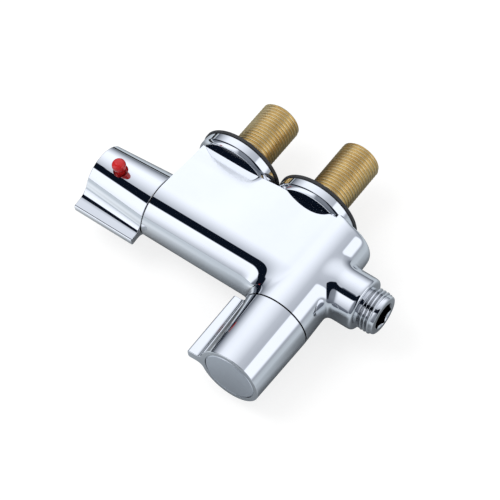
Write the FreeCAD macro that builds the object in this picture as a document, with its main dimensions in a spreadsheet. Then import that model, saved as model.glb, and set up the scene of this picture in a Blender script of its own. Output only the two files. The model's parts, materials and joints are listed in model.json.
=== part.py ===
import FreeCAD, Part
import Sketcher
import math
import os
import re

# Wall-mounted shower mixer. Millimetres, +Z up, +Y into the wall, +X towards the hose outlet.
# The origin lies on the wall plane, midway between the two supply shanks.

Vector = FreeCAD.Vector

sizes = {
    # layout of the casting, seen from the bar axis
    "inlet_spacing": 44.0,
    "bar_radius": 15.75,
    "body_left": 38.8,
    "body_depth": 34.6,
    "back_height": 23.2,
    "flow_offset": 40.8,
    "flow_reach": 19.4,
    "flow_neck_radius": 16.75,
    "flow_back_radius": 15.75,
    "back_round": 2.0,
    "bar_blend": 3.0,
    "outlet_offset": 10.3,
    "outlet_neck_radius": 13.2,
    "outlet_neck_reach": 28.8,
    "outlet_blend": 6.0,
    "neck_round": 2.0,
    # running and seating clearances
    "fit_gap": 0.1,
    "running_gap": 0.05,
    "seam_gap": 0.4,
    # half-inch pipe thread, its crest radius, shared by the shanks and the outlet
    "thread_radius": 10.4775,
    "thread_chamfer": 0.9,
    "thread_pitch": 1.814,
    "thread_groove": 1.4,
    "thread_depth": 1.0,
    "shank_relief": 0.4,
    # supply shanks with flange, gasket, strainer and check valve
    "spigot_radius": 8.9,
    "spigot_length": 14.0,
    "supply_bore": 6.0,
    "valve_bore": 7.6,
    "valve_seat": 6.0,
    "hot_reach": 32.5,
    "cold_reach": 35.7,
    "flange_gap": 1.6,
    "flange_thickness": 5.6,
    "flange_chamfer": 0.5,
    "gasket_lip": 0.55,
    "gasket_thickness": 1.2,
    "strainer_depth": 3.0,
    "strainer_wall": 1.2,
    "mesh_thickness": 0.6,
    "mesh_hole": 0.7,
    "check_length": 18.0,
    "check_wall": 1.2,
    "check_seat_radius": 4.2,
    "check_end": 1.6,
    "poppet_radius": 5.0,
    "poppet_thickness": 2.0,
    "poppet_stem": 1.2,
    "flow_hole": 1.1,
    # cartridge chamber in the bar
    "mouth_radius": 13.0,
    "mouth_depth": 9.0,
    "chamber_radius": 11.5,
    "chamber_end": 30.2,
    "port_radius": 4.5,
    "passage_radius": 5.2,
    "passage_shift": 4.2,
    # cartridge that blends hot and cold
    "land_radius": 11.3,
    "recess_radius": 9.3,
    "seal_width": 2.2,
    "seal_depth": 1.6,
    "collar_thickness": 3.2,
    "nose_radius": 8.2,
    "nose_length": 11.0,
    "core_radius": 7.3,
    "hot_seat": 10.6,
    "hot_gap": 0.7,
    "cold_gap": 0.5,
    "shuttle_length": 6.5,
    "shuttle_radius": 8.2,
    "end_land": 3.4,
    "element_radius": 4.2,
    "element_length": 20.0,
    "plug_place": 12.5,
    "plug_thickness": 2.4,
    "cup_length": 10.0,
    "cup_wall": 2.0,
    "pin_radius": 1.2,
    "spring_wire": 0.7,
    "nut_height": 2.5,
    "nut_radius": 12.2,
    "nut_slot": 3.0,
    # spindles and handles
    "journal_radius": 4.25,
    "drive_square": 6.0,
    "spindle_setback": 12.5,
    "screw_radius": 1.9,
    "screw_head": 3.6,
    "screw_head_height": 2.2,
    "screw_length": 17.0,
    "screw_hole": 11.0,
    "screw_socket": 2.5,
    "handle_wall": 2.2,
    "end_wall": 3.0,
    "cap_thickness": 1.6,
    "cap_rim": 2.55,
    "cap_gap": 0.25,
    "boss_radius": 6.6,
    "boss_start": 9.0,
    "seal_setback": 4.0,
    "groove_depth": 1.0,
    "groove_width": 1.6,
    "fin_thickness": 4.8,
    "fin_reach": 23.2,
    "fin_fillet": 4.0,
    "fin_edge": 1.2,
    "temperature_length": 33.9,
    "temperature_seam": 15.75,
    "temperature_end": 13.7,
    "temperature_tilt": 9.0,
    "flow_length": 35.9,
    "flow_seam": 16.75,
    "flow_end": 15.7,
    "flow_tilt": 5.0,
    # safety stop
    "button_place": 21.1,
    "button_radius": 3.4,
    "button_top": 20.9,
    "button_height": 5.6,
    "button_neck": 2.4,
    "button_round": 2.2,
    "tongue_gap": 0.4,
    "plate_level": 9.7,
    "plate_thickness": 1.5,
    "plate_radius": 3.9,
    "tongue_width": 3.0,
    "stop_lug_width": 3.4,
    "stop_lug_radius": 11.6,
    "stop_lug_reach": 2.5,
    "stop_ring_radius": 10.8,
    "button_wire": 0.35,
    # flow valve
    "valve_chamber": 10.2,
    "valve_depth": 24.4,
    "seat_radius": 6.0,
    "seat_depth": 12.0,
    "hex_flats": 22.0,
    "hex_height": 5.0,
    "bonnet_radius": 7.0,
    "bonnet_height": 2.6,
    "barrel_radius": 9.2,
    "disc_chamber": 8.2,
    "disc_chamber_depth": 14.4,
    "disc_thickness": 3.1,
    "disc_port": 2.7,
    "disc_port_place": 4.7,
    "driver_thickness": 2.0,
    "disc_seal_thickness": 1.6,
    # outlet nipple
    "nipple_spigot": 8.0,
    "nipple_depth": 9.5,
    "nipple_relief": 9.2,
    "nipple_relief_width": 1.2,
    "outlet_length": 9.7,
    "socket_flats": 12.0,
    "socket_depth": 7.0,
    "nipple_bore": 5.0,
}

# places that several pieces share, as formulas of the sizes
bar_line = "-(body_depth + flange_thickness + gasket_thickness)"
flange_rim = "(inlet_spacing - flange_gap) / 2"
collar_face = "mouth_depth - body_left"
nose_end = "mouth_depth - body_left - collar_thickness - nose_length"
shuttle_left = "hot_gap - hot_seat"
shuttle_right = "hot_gap - hot_seat + shuttle_length"
cold_seat = "hot_gap - hot_seat + shuttle_length + cold_gap"
valve_floor = "valve_depth - flow_reach"

doc = FreeCAD.newDocument("shower_mixer")
sheet = doc.addObject("Spreadsheet::Sheet", "Sizes")
for row, (alias, size) in enumerate(sizes.items(), start=1):
    sheet.set(f"A{row}", alias)
    sheet.set(f"B{row}", str(size))
    sheet.setAlias(f"B{row}", alias)
doc.recompute()
bodies = []


def formula(text):
    """A formula of size names, with each name pointing at its cell."""
    def cell(word):
        return "Sizes." + word.group() if word.group() in sizes else word.group()
    return re.sub(r"[a-z_]+", cell, str(text))


def value(text):
    """What a formula of size names comes to."""
    return float(sheet.evalExpression(formula(text)))


def new_body(name, x="0", y=bar_line, z="0", rotation=None):
    body = doc.addObject("PartDesign::Body", name)
    body.Label = name
    if rotation:
        body.Placement = FreeCAD.Placement(Vector(), rotation)
    for letter, text in zip("xyz", (x, y, z)):
        body.setExpression("Placement.Base." + letter, formula(text))
    bodies.append(body)
    return body


def new_sketch(body, role, shift=("0", "0", "0")):
    """A sketch on one of the body's own origin planes, shifted in that plane's axes."""
    plane = next(part for part in body.Origin.OriginFeatures if part.Role == role)
    sketch = body.newObject("Sketcher::SketchObject", body.Name + "_sketch")
    sketch.AttachmentSupport = [(plane, "")]
    sketch.MapMode = "FlatFace"
    for letter, text in zip("xyz", shift):
        if text != "0":
            sketch.setExpression("AttachmentOffset.Base." + letter, formula(text))
    return sketch


def pin_number(sketch, kind, places, text):
    """One dimension, bound to the formula."""
    index = sketch.addConstraint(Sketcher.Constraint(kind, *places, value(text)))
    sketch.setExpression(f"Constraints[{index}]", formula(text))


def pin_point(sketch, line, end, across, up):
    """Hold one point at the place that two formulas give."""
    for kind, text, axis in (("DistanceX", across, -2), ("DistanceY", up, -1)):
        if text == "0":
            sketch.addConstraint(Sketcher.Constraint("PointOnObject", line, end, axis))
        elif text is not None:
            pin_number(sketch, kind, (-1, 1, line, end), text)


def draw_polygon(sketch, corners):
    """Closed outline through corners, each a pair of formulas."""
    points = [Vector(value(across), value(up), 0) for across, up in corners]
    count = len(points)
    first = sketch.GeometryCount
    for index in range(count):
        sketch.addGeometry(Part.LineSegment(points[index], points[(index + 1) % count]), False)
    for index in range(count):
        following = first + (index + 1) % count
        sketch.addConstraint(Sketcher.Constraint("Coincident", first + index, 2, following, 1))
    pin_point(sketch, first, 1, *corners[0])
    for index in range(1, count):
        across, up = corners[index]
        before = corners[index - 1]
        if across == before[0]:
            sketch.addConstraint(Sketcher.Constraint("Vertical", first + index - 1))
            across = None
        if up == before[1]:
            sketch.addConstraint(Sketcher.Constraint("Horizontal", first + index - 1))
            up = None
        pin_point(sketch, first + index, 1, across, up)


def draw_circle(sketch, across, up, radius):
    centre = Vector(value(across), value(up), 0)
    line = sketch.addGeometry(Part.Circle(centre, Vector(0, 0, 1), value(radius)), False)
    pin_point(sketch, line, 3, across, up)
    pin_number(sketch, "Radius", (line,), radius)


def draw_regular(sketch, sides, flats):
    """Regular polygon about the origin, sized across its flats."""
    step = 2 * math.pi / sides
    corner = value(flats) / 2 / math.cos(step / 2)
    points = [
        Vector(corner * math.cos(step * (index + 0.5)), corner * math.sin(step * (index + 0.5)), 0)
        for index in range(sides)
    ]
    for index in range(sides):
        sketch.addGeometry(Part.LineSegment(points[index - 1], points[index]), False)
    guide = sketch.addGeometry(Part.Circle(Vector(), Vector(0, 0, 1), corner), True)
    sketch.addConstraint(Sketcher.Constraint("Coincident", guide, 3, -1, 1))
    for index in range(sides):
        sketch.addConstraint(Sketcher.Constraint("Coincident", index, 2, (index + 1) % sides, 1))
        sketch.addConstraint(Sketcher.Constraint("PointOnObject", index, 2, guide))
        if index:
            sketch.addConstraint(Sketcher.Constraint("Equal", 0, index))
    sketch.addConstraint(Sketcher.Constraint("Vertical", 0))
    pin_number(sketch, "Radius", (guide,), f"({flats}) / 2 / {math.cos(step / 2)}")


def turned(body, axis, corners, cut=False, shift=("0", "0", "0")):
    """Revolve a profile of (along the axis, from the axis) corners, as solid or as a cut."""
    sketch = new_sketch(body, "XZ_Plane" if axis == "Z" else "XY_Plane", shift)
    if axis != "X":
        corners = [(out, along) for along, out in corners]
    draw_polygon(sketch, corners)
    kind = "PartDesign::Groove" if cut else "PartDesign::Revolution"
    feature = body.newObject(kind, body.Name + "_turn")
    feature.Profile = sketch
    feature.ReferenceAxis = (sketch, ["H_Axis" if axis == "X" else "V_Axis"])
    feature.Angle = 360.0
    body.Tip = feature
    return feature


def pulled(body, sketch, length, cut=False, both=False, reverse=False):
    """Pad or pocket a sketch over a length."""
    feature = body.newObject("PartDesign::Pocket" if cut else "PartDesign::Pad", body.Name + "_pull")
    feature.Profile = sketch
    feature.Type = "Length"
    feature.setExpression("Length", formula(length))
    feature.Midplane = both
    feature.Reversed = reverse
    body.Tip = feature
    return feature


def patterned(body, feature, sketch, axis, count):
    """Repeat a feature round one of its sketch's axes."""
    pattern = body.newObject("PartDesign::PolarPattern", body.Name + "_round")
    pattern.Originals = [feature]
    pattern.Axis = (sketch, [axis])
    pattern.Angle = 360.0
    pattern.Occurrences = count
    body.Tip = pattern
    return pattern


def threaded(body, axis, start, end):
    """Plain rings for the turns of the pipe thread, from start to end on the crest."""
    first = f"({start}) + thread_pitch / 2"
    half = "thread_groove / 2 * (1 + fit_gap / thread_depth)"
    crest = "thread_radius + fit_gap"
    groove = turned(body, axis, [
        (f"{first} - {half}", crest), (first, "thread_radius - thread_depth"), (f"{first} + {half}", crest)], cut=True)
    turns = f"floor(({end} - ({start})) / thread_pitch)"
    pattern = body.newObject("PartDesign::LinearPattern", body.Name + "_thread")
    pattern.Originals = [groove]
    pattern.Direction = (groove.Profile[0], ["H_Axis" if axis == "X" else "V_Axis"])
    pattern.setExpression("Length", formula(f"thread_pitch * ({turns} - 1)"))
    pattern.setExpression("Occurrences", formula(turns))
    body.Tip = pattern
    return pattern


def ring(name, axis, start, width, inner, outer, **place):
    """Plain washer or square-cut seal."""
    body = new_body(name, **place)
    ends = (start, f"({start}) + ({width})")
    turned(body, axis, [(ends[0], inner), (ends[1], inner), (ends[1], outer), (ends[0], outer)])
    return body


def o_ring(name, axis, middle, ring_radius, section, **place):
    """Round-section ring about an axis."""
    body = new_body(name, **place)
    sketch = new_sketch(body, "XY_Plane" if axis == "X" else "YZ_Plane")
    draw_circle(sketch, middle, ring_radius, section)
    feature = body.newObject("PartDesign::Revolution", name + "_turn")
    feature.Profile = sketch
    feature.ReferenceAxis = (sketch, ["H_Axis"])
    feature.Angle = 360.0
    body.Tip = feature
    return body


def spring(name, length, ring_radius, wire, turns, rotation=None, **place):
    """Round-wire compression spring along its own +Z, from its placement."""
    body = new_body(name, rotation=rotation, **place)
    sketch = new_sketch(body, "XZ_Plane")
    draw_circle(sketch, ring_radius, f"({wire}) / 2", f"({wire}) / 2")
    helix = body.newObject("PartDesign::AdditiveHelix", name + "_helix")
    helix.Profile = sketch
    helix.ReferenceAxis = (sketch, ["V_Axis"])
    helix.Mode = "height-turns-angle"
    helix.setExpression("Height", formula(f"({length}) - ({wire})"))
    helix.Turns = turns
    helix.Angle = 0
    helix.Growth = 0
    body.Tip = helix
    return body


def add_fillet(body, base, edges, radius, name):
    fillet = body.newObject("PartDesign::Fillet", name)
    fillet.Base = (base, edges)
    fillet.setExpression("Radius", formula(radius))
    body.Tip = fillet
    return fillet


def edges_where(shape, wanted):
    """Names of the edges whose two faces pass the test."""
    names = []
    for index, edge in enumerate(shape.Edges, start=1):
        faces = [face for face in shape.Faces if any(edge.isSame(other) for other in face.Edges)]
        if len(faces) == 2 and wanted(faces):
            names.append(f"Edge{index}")
    return names


def draw_bar_section(sketch):
    """Round front of the bar, with two flanks that close tangentially to the narrower back."""
    radius = value("bar_radius")
    depth = value("body_depth")
    half = value("back_height / 2")
    lean = math.atan2(half, depth) + math.acos(radius / math.hypot(depth, half))
    arc = Part.ArcOfCircle(Part.Circle(Vector(), Vector(0, 0, 1), radius), lean, 2 * math.pi - lean)
    top = arc.StartPoint
    bottom = arc.EndPoint
    corners = [bottom, Vector(depth, -half, 0), Vector(depth, half, 0), top]
    sketch.addGeometry(arc, False)
    for start, end in zip(corners, corners[1:]):
        sketch.addGeometry(Part.LineSegment(start, end), False)
    sketch.addConstraint(Sketcher.Constraint("Coincident", 0, 3, -1, 1))
    pin_number(sketch, "Radius", (0,), "bar_radius")
    sketch.addConstraint(Sketcher.Constraint("Tangent", 0, 2, 1, 1))
    sketch.addConstraint(Sketcher.Constraint("Coincident", 1, 2, 2, 1))
    sketch.addConstraint(Sketcher.Constraint("Coincident", 2, 2, 3, 1))
    sketch.addConstraint(Sketcher.Constraint("Tangent", 3, 2, 0, 1))
    pin_point(sketch, 2, 1, "body_depth", "-back_height / 2")
    pin_point(sketch, 2, 2, "body_depth", "back_height / 2")


def is_round_about(face, axis):
    """True for a cone, torus or cylinder face about the given direction."""
    surface = face.Surface
    return hasattr(surface, "Axis") and not isinstance(surface, Part.Plane) and (
        abs(abs(surface.Axis.dot(axis)) - 1) < 1e-6)


def make_mixer_body():
    """The casting: bar with flanks, flow column, outlet neck, and the water chambers in them."""
    body = new_body("mixer_body")
    section = new_sketch(body, "YZ_Plane", ("0", "0", "-body_left"))
    draw_bar_section(section)
    pulled(body, section, "body_left + flow_offset")

    turn = turned(body, "Y", [
        ("body_depth", "0"), ("body_depth", "flow_back_radius"), ("-flow_reach", "flow_neck_radius"),
        ("-flow_reach", "0")], shift=("flow_offset", "0", "0"))
    doc.recompute()
    across = Vector(0, 1, 0)
    joints = edges_where(turn.Shape, lambda faces: sum(is_round_about(face, across) for face in faces) == 1
                         and not any(is_flat_across(face) for face in faces))
    column_lead = "flow_reach - bar_radius - seam_gap"
    blend = add_fillet(body, turn, joints, f"min(bar_blend; {column_lead})", "bar_blend")
    doc.recompute()
    depth = value("body_depth")
    left = value("-body_left")
    rim = [name for name in edges_where(blend.Shape, lambda faces: True)
           if blend.Shape.getElement(name).BoundBox.YMin > depth - 0.01
           and blend.Shape.getElement(name).BoundBox.XMax > left + 0.01]
    add_fillet(body, blend, rim, "back_round", "back_round")

    neck = new_sketch(body, "YZ_Plane", ("outlet_offset", "0", "flow_offset"))
    draw_circle(neck, "0", "0", "outlet_neck_radius")
    pull = pulled(body, neck, "outlet_neck_reach")
    doc.recompute()
    radius = value("outlet_neck_radius")
    joints = edges_where(pull.Shape, lambda faces: sum(is_neck(face, radius) for face in faces) == 1
                         and not any(isinstance(face.Surface, Part.Plane) for face in faces))
    blend = add_fillet(body, pull, joints, "outlet_blend", "outlet_blend")
    doc.recompute()
    tip = value("flow_offset + outlet_neck_reach")
    rim = [name for name in edges_where(blend.Shape, lambda faces: True)
           if abs(blend.Shape.getElement(name).BoundBox.XMin - tip) < 0.01]
    add_fillet(body, blend, rim, "neck_round", "neck_round")

    # cartridge chamber along the bar, and the passage from it to the flow valve
    turned(body, "X", [
        ("-body_left", "0"), ("-body_left", "mouth_radius"), (collar_face, "mouth_radius"),
        (collar_face, "chamber_radius"), ("chamber_end", "chamber_radius"), ("chamber_end", "0")], cut=True)
    turned(body, "X", [
        ("chamber_end - 1", "0"), ("chamber_end - 1", "passage_radius"),
        ("flow_offset", "passage_radius"), ("flow_offset", "0")], cut=True, shift=("0", "-passage_shift", "0"))
    # flow valve chamber with its seat
    turned(body, "Y", [
        ("-flow_reach", "0"), ("-flow_reach", "valve_chamber"), (valve_floor, "valve_chamber"),
        (valve_floor, "seat_radius"), (f"{valve_floor} + seat_depth", "seat_radius"),
        (f"{valve_floor} + seat_depth", "0")], cut=True, shift=("flow_offset", "0", "0"))
    # waterway to the outlet, threaded for the nipple
    neck_end = "flow_offset + outlet_neck_reach"
    turned(body, "X", [
        ("flow_offset", "0"), ("flow_offset", "seat_radius"),
        (f"{neck_end} - nipple_depth - fit_gap", "seat_radius"),
        (f"{neck_end} - nipple_depth - fit_gap", "nipple_spigot + fit_gap"),
        (neck_end, "nipple_spigot + fit_gap"), (neck_end, "0")], cut=True, shift=("0", "outlet_offset", "0"))
    # supply ports, threaded for the shanks
    for side in ("-inlet_spacing / 2", "inlet_spacing / 2"):
        turned(body, "Y", [
            ("body_depth", "0"), ("body_depth", "spigot_radius + fit_gap"),
            ("body_depth - spigot_length", "spigot_radius + fit_gap"),
            ("body_depth - spigot_length", "port_radius"), ("0", "port_radius"), ("0", "0")],
            cut=True, shift=(side, "0", "0"))


def is_flat_across(face):
    """True for the flat back of the casting and the flat end of its column."""
    return isinstance(face.Surface, Part.Plane) and abs(abs(face.Surface.Axis.y) - 1) < 1e-6


def is_neck(face, radius):
    return isinstance(face.Surface, Part.Cylinder) and abs(face.Surface.Radius - radius) < 1e-6 and (
        is_round_about(face, Vector(1, 0, 0)))


def make_supply(side, x, reach):
    """One supply connection: shank, flange, gasket, strainer and check valve."""
    place = {"x": x, "y": "0"}
    back = "-flange_thickness - gasket_thickness"
    shank = new_body(f"inlet_shank_{side}", **place)
    turned(shank, "Y", [
        (f"{back} - spigot_length", "supply_bore"), (f"{back} - spigot_length", "spigot_radius"),
        (back, "spigot_radius"), (back, "thread_radius - shank_relief"), ("0", "thread_radius - shank_relief"),
        ("0", "thread_radius"), (f"{reach} - thread_chamfer", "thread_radius"), (reach, "thread_radius - thread_chamfer"),
        (reach, "valve_bore"), ("valve_seat", "valve_bore"), ("valve_seat", "supply_bore")])
    threaded(shank, "Y", "0", f"{reach} - thread_chamfer")

    flange = new_body(f"inlet_flange_{side}", **place)
    inner = "thread_radius + fit_gap"
    turned(flange, "Y", [
        (back, inner), (back, f"{flange_rim} - flange_chamfer"),
        (f"{back} + flange_chamfer", flange_rim), ("-gasket_thickness - flange_chamfer", flange_rim),
        ("-gasket_thickness", f"{flange_rim} - flange_chamfer"), ("-gasket_thickness", inner)])
    ring(f"inlet_gasket_{side}", "Y", "-gasket_thickness", "gasket_thickness", inner, f"{flange_rim} + gasket_lip", **place)

    strainer = new_body(f"strainer_{side}", **place)
    outer = "valve_bore - fit_gap / 2"
    floor = f"{reach} - strainer_depth"
    turned(strainer, "Y", [
        (floor, "0"), (floor, outer), (reach, outer), (reach, f"{outer} - strainer_wall"),
        (f"{floor} + mesh_thickness", f"{outer} - strainer_wall"), (f"{floor} + mesh_thickness", "0")])
    for distance, count in (("mesh_hole * 3", 6), ("mesh_hole * 6", 12)):
        holes = new_sketch(strainer, "XZ_Plane", ("0", "0", f"-({floor}) - mesh_thickness - 0.1"))
        draw_circle(holes, distance, "0", "mesh_hole")
        cut = pulled(strainer, holes, "mesh_thickness + 0.2", cut=True, reverse=True)
        patterned(strainer, cut, holes, "N_Axis", count)

    housing = new_body(f"check_valve_{side}", **place)
    outer = "valve_bore - fit_gap / 2"
    end = "valve_seat + check_length"
    turned(housing, "Y", [
        ("valve_seat", "poppet_stem + fit_gap"), ("valve_seat", outer), (end, outer), (end, "check_seat_radius"),
        (f"{end} - check_end", "check_seat_radius"), (f"{end} - check_end", f"{outer} - check_wall"),
        ("valve_seat + check_end", f"{outer} - check_wall"), ("valve_seat + check_end", "poppet_stem + fit_gap")])
    holes = new_sketch(housing, "XZ_Plane", ("0", "0", "-valve_seat - check_end - 0.1"))
    draw_circle(holes, "check_seat_radius - 0.3", "0", "flow_hole")
    cut = pulled(housing, holes, "check_end + 0.2", cut=True, reverse=True)
    patterned(housing, cut, holes, "N_Axis", 6)

    poppet = new_body(f"check_poppet_{side}", **place)
    seat = f"{end} - check_end - running_gap"
    turned(poppet, "Y", [
        ("valve_seat", "0"), ("valve_seat", "poppet_stem"), (f"{seat} - poppet_thickness", "poppet_stem"),
        (f"{seat} - poppet_thickness", "poppet_radius"), (seat, "poppet_radius"), (seat, "0")])
    spring(f"check_spring_{side}", f"{seat} - poppet_thickness - valve_seat - check_end - 2 * running_gap",
           "(check_seat_radius + poppet_stem) / 2 + 0.6", "spring_wire", 5,
           rotation=FreeCAD.Rotation(Vector(1, 0, 0), -90), x=x, y="valve_seat + check_end + running_gap")


def spindle_seal(name, spindle, axis, start, **place):
    """Groove round a spindle's journal, with the ring that fills it."""
    floor = "journal_radius - groove_depth"
    end = f"{start} + groove_width"
    turned(spindle, axis, [(start, floor), (end, floor), (end, "journal_radius + 1"),
                           (start, "journal_radius + 1")], cut=True)
    o_ring(f"{name}_spindle_seal", axis, f"{start} + groove_width / 2", f"({floor} + journal_radius) / 2",
           "groove_depth / 2 - 0.03", **place)


def make_cartridge():
    """The blending cartridge: head, barrel, seals, spindle, driven stack and retaining nut."""
    head = new_body("cartridge_head")
    face = collar_face
    spigot = "shuttle_radius"
    groove = f"{face} + 1.0"
    turned(head, "X", [
        (nose_end, "journal_radius + running_gap"), (nose_end, "nose_radius"),
        (f"{face} - collar_thickness", "nose_radius"), (f"{face} - collar_thickness", "mouth_radius - fit_gap"),
        (face, "mouth_radius - fit_gap"), (face, "land_radius"), (groove, "land_radius"),
        (groove, "land_radius - seal_depth"), (f"{groove} + seal_width", "land_radius - seal_depth"),
        (f"{groove} + seal_width", "land_radius"), (f"{groove} + seal_width + 1.0", "land_radius"),
        (f"{groove} + seal_width + 1.0", "recess_radius"), ("-hot_seat - 3.0", "recess_radius"),
        ("-hot_seat - 3.0", spigot), ("-hot_seat", spigot), ("-hot_seat", "core_radius"),
        (f"{face} - 0.7", "core_radius"), (f"{face} - 0.7", "journal_radius + running_gap")])

    barrel = new_body("cartridge_barrel")
    bore = "shuttle_radius + 0.1"
    land = "-hot_seat + 1.8"
    groove = f"{land} + 1.0"
    end_groove = "chamber_end - 0.2 - 0.6 - seal_width"
    turned(barrel, "X", [
        ("-hot_seat - 3.0", bore), ("-hot_seat - 3.0", "recess_radius"), (land, "recess_radius"),
        (land, "land_radius"), (groove, "land_radius"), (groove, "land_radius - seal_depth"),
        (f"{groove} + seal_width", "land_radius - seal_depth"), (f"{groove} + seal_width", "land_radius"),
        (f"{land} + 1.0 + seal_width + 0.6", "land_radius"), (f"{land} + 1.0 + seal_width + 0.6", "recess_radius"),
        ("chamber_end - 0.2 - end_land", "recess_radius"), ("chamber_end - 0.2 - end_land", "land_radius"),
        (end_groove, "land_radius"), (end_groove, "land_radius - seal_depth"),
        (f"{end_groove} + seal_width", "land_radius - seal_depth"), (f"{end_groove} + seal_width", "land_radius"),
        ("chamber_end - 0.2", "land_radius"), ("chamber_end - 0.2", "core_radius"),
        (f"{cold_seat} + 1.7", "core_radius"), (f"{cold_seat} + 1.7", "core_radius - 0.3"),
        (cold_seat, "core_radius - 0.3"), (cold_seat, bore)])
    # slots that let hot water in at the left lip of the shuttle and cold at the right
    for start, end in (("-hot_seat", land), (f"{cold_seat} - 0.9", cold_seat)):
        for role in ("XY_Plane", "XZ_Plane"):
            slots = new_sketch(barrel, role)
            draw_polygon(slots, [(start, "-core_radius / 2"), (end, "-core_radius / 2"),
                                 (end, "core_radius / 2"), (start, "core_radius / 2")])
            pulled(barrel, slots, "chamber_radius * 2", cut=True, both=True)

    middle = "(chamber_radius + land_radius - seal_depth) / 2"
    section = "(chamber_radius - land_radius + seal_depth) / 2 - running_gap"
    o_ring("cartridge_seal_hot", "X", f"{face} + 1.0 + seal_width / 2", middle, section)
    o_ring("cartridge_seal_middle", "X", f"{land} + 1.0 + seal_width / 2", middle, section)
    o_ring("cartridge_seal_cold", "X", f"{end_groove} + seal_width / 2", middle, section)

    nut = new_body("retaining_nut")
    turned(nut, "X", [
        ("-body_left - nut_height", "nose_radius + 0.2"), ("-body_left - nut_height", "nut_radius"),
        ("-body_left", "nut_radius"), ("-body_left", "mouth_radius - fit_gap"),
        (f"{face} - collar_thickness", "mouth_radius - fit_gap"), (f"{face} - collar_thickness", "nose_radius + 0.2")])
    slot = new_sketch(nut, "XY_Plane")
    draw_polygon(slot, [
        ("-body_left - nut_height", "nut_radius - 1.8"), ("-body_left - nut_height + 1.6", "nut_radius - 1.8"),
        ("-body_left - nut_height + 1.6", "nut_radius + 1"), ("-body_left - nut_height", "nut_radius + 1")])
    cut = pulled(nut, slot, "nut_slot", cut=True, both=True)
    patterned(nut, cut, slot, "H_Axis", 6)

    # rotating spindle: square drive, journal, thrust collar and lead screw
    turn = FreeCAD.Rotation(Vector(1, 0, 0), value("temperature_tilt"))
    spindle = new_body("temperature_spindle", rotation=turn)
    tip = "seam_gap + temperature_length + body_left - spindle_setback"
    screw_end = f"{face} + cup_length - 1.5"
    turned(spindle, "X", [
        (f"{nose_end} - 1.0", "0"), (f"{nose_end} - 1.0", "journal_radius"), (f"{face} - 0.6", "journal_radius"),
        (f"{face} - 0.6", "core_radius - 0.8"), (f"{face} + 1.2", "core_radius - 0.8"),
        (f"{face} + 1.2", "journal_radius - 0.8"), (screw_end, "journal_radius - 0.8"), (screw_end, "0")])
    square = new_sketch(spindle, "YZ_Plane", ("0", "0", f"{nose_end} - 1.0"))
    draw_regular(square, 4, "drive_square")
    pulled(spindle, square, f"{tip} + {nose_end} - 1.0", reverse=True)
    turned(spindle, "X", [
        (f"-({tip})", "0"), (f"-({tip})", "screw_radius"), (f"-({tip}) + screw_hole", "screw_radius"),
        (f"-({tip}) + screw_hole", "0")], cut=True)

    spindle_seal("temperature", spindle, "X", f"{face} - seal_setback")

    # driven stack: cup on the lead screw, overload spring, plunger, wax element, shuttle
    cup = new_body("drive_cup")
    cup_start = f"{face} + 2.0"
    cup_end = f"{face} + 2.0 + cup_length"
    turned(cup, "X", [
        (cup_start, "journal_radius - 0.7"), (cup_start, "core_radius - 0.2"), (cup_end, "core_radius - 0.2"),
        (cup_end, "core_radius - 0.2 - cup_wall"), (f"{face} + 6.0", "core_radius - 0.2 - cup_wall"),
        (f"{face} + 6.0", "journal_radius - 0.7")])
    turn = FreeCAD.Rotation(Vector(0, 1, 0), 90)
    plunger_face = f"{face} + cup_length + 0.6"
    spring("overload_spring", "cup_length - 5.5", "core_radius - 0.2 - cup_wall - 0.6",
           "spring_wire", 3, rotation=turn, x=f"{face} + 6.05")
    ring_text = "core_radius - 0.2 - cup_wall - 0.1"
    plunger = new_body("thrust_plunger")
    turned(plunger, "X", [(plunger_face, "0"), (plunger_face, ring_text), (cup_end, ring_text), (cup_end, "0")])

    element = new_body("wax_element")
    hub_left = f"{shuttle_left} + 0.8"
    web = f"{shuttle_left} + 2.4"
    turned(element, "X", [
        (cup_end, "0"), (cup_end, "pin_radius"), (hub_left, "pin_radius"), (hub_left, "element_radius - 1"),
        (f"{web} + 1.6", "element_radius - 1"), (f"{web} + 1.6", "element_radius"),
        (f"{cold_seat} + 2.0", "element_radius"), (f"{cold_seat} + 2.0", "core_radius - 0.9"),
        (f"{cold_seat} + 3.2", "core_radius - 0.9"), (f"{cold_seat} + 3.2", "element_radius"),
        ("element_length - 2", "element_radius"), ("element_length", "element_radius - 2"), ("element_length", "0")])
    shuttle = new_body("shuttle")
    turned(shuttle, "X", [
        (shuttle_left, "core_radius + 0.2"), (shuttle_left, "shuttle_radius"), (shuttle_right, "shuttle_radius"),
        (shuttle_right, "core_radius - 0.1"), (f"{web} + 1.6", "core_radius - 0.1"),
        (f"{web} + 1.6", "element_radius - 1 + running_gap"), (web, "element_radius - 1 + running_gap"),
        (web, "core_radius + 0.2")])
    holes = new_sketch(shuttle, "YZ_Plane", ("0", "0", f"{web} - 0.1"))
    draw_circle(holes, "(core_radius + element_radius - 1) / 2", "0", "flow_hole")
    cut = pulled(shuttle, holes, "2.0", cut=True, reverse=True)
    patterned(shuttle, cut, holes, "N_Axis", 8)

    spring("return_spring", f"plug_place - ({cold_seat}) - 3.2 - 2 * running_gap", "core_radius - 1.6",
           "spring_wire", 4, rotation=turn, x=f"{cold_seat} + 3.2 + running_gap")
    plug = new_body("cartridge_plug")
    turned(plug, "X", [
        ("plug_place", "element_radius + 0.3"), ("plug_place", "core_radius - running_gap"),
        ("plug_place + plug_thickness", "core_radius - running_gap"), ("plug_place + plug_thickness", "element_radius + 0.3")])
    holes = new_sketch(plug, "YZ_Plane", ("0", "0", "plug_place - 0.1"))
    draw_circle(holes, "(core_radius + element_radius + 0.3) / 2", "0", "flow_hole")
    cut = pulled(plug, holes, "plug_thickness + 0.2", cut=True, reverse=True)
    patterned(plug, cut, holes, "N_Axis", 8)


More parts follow.
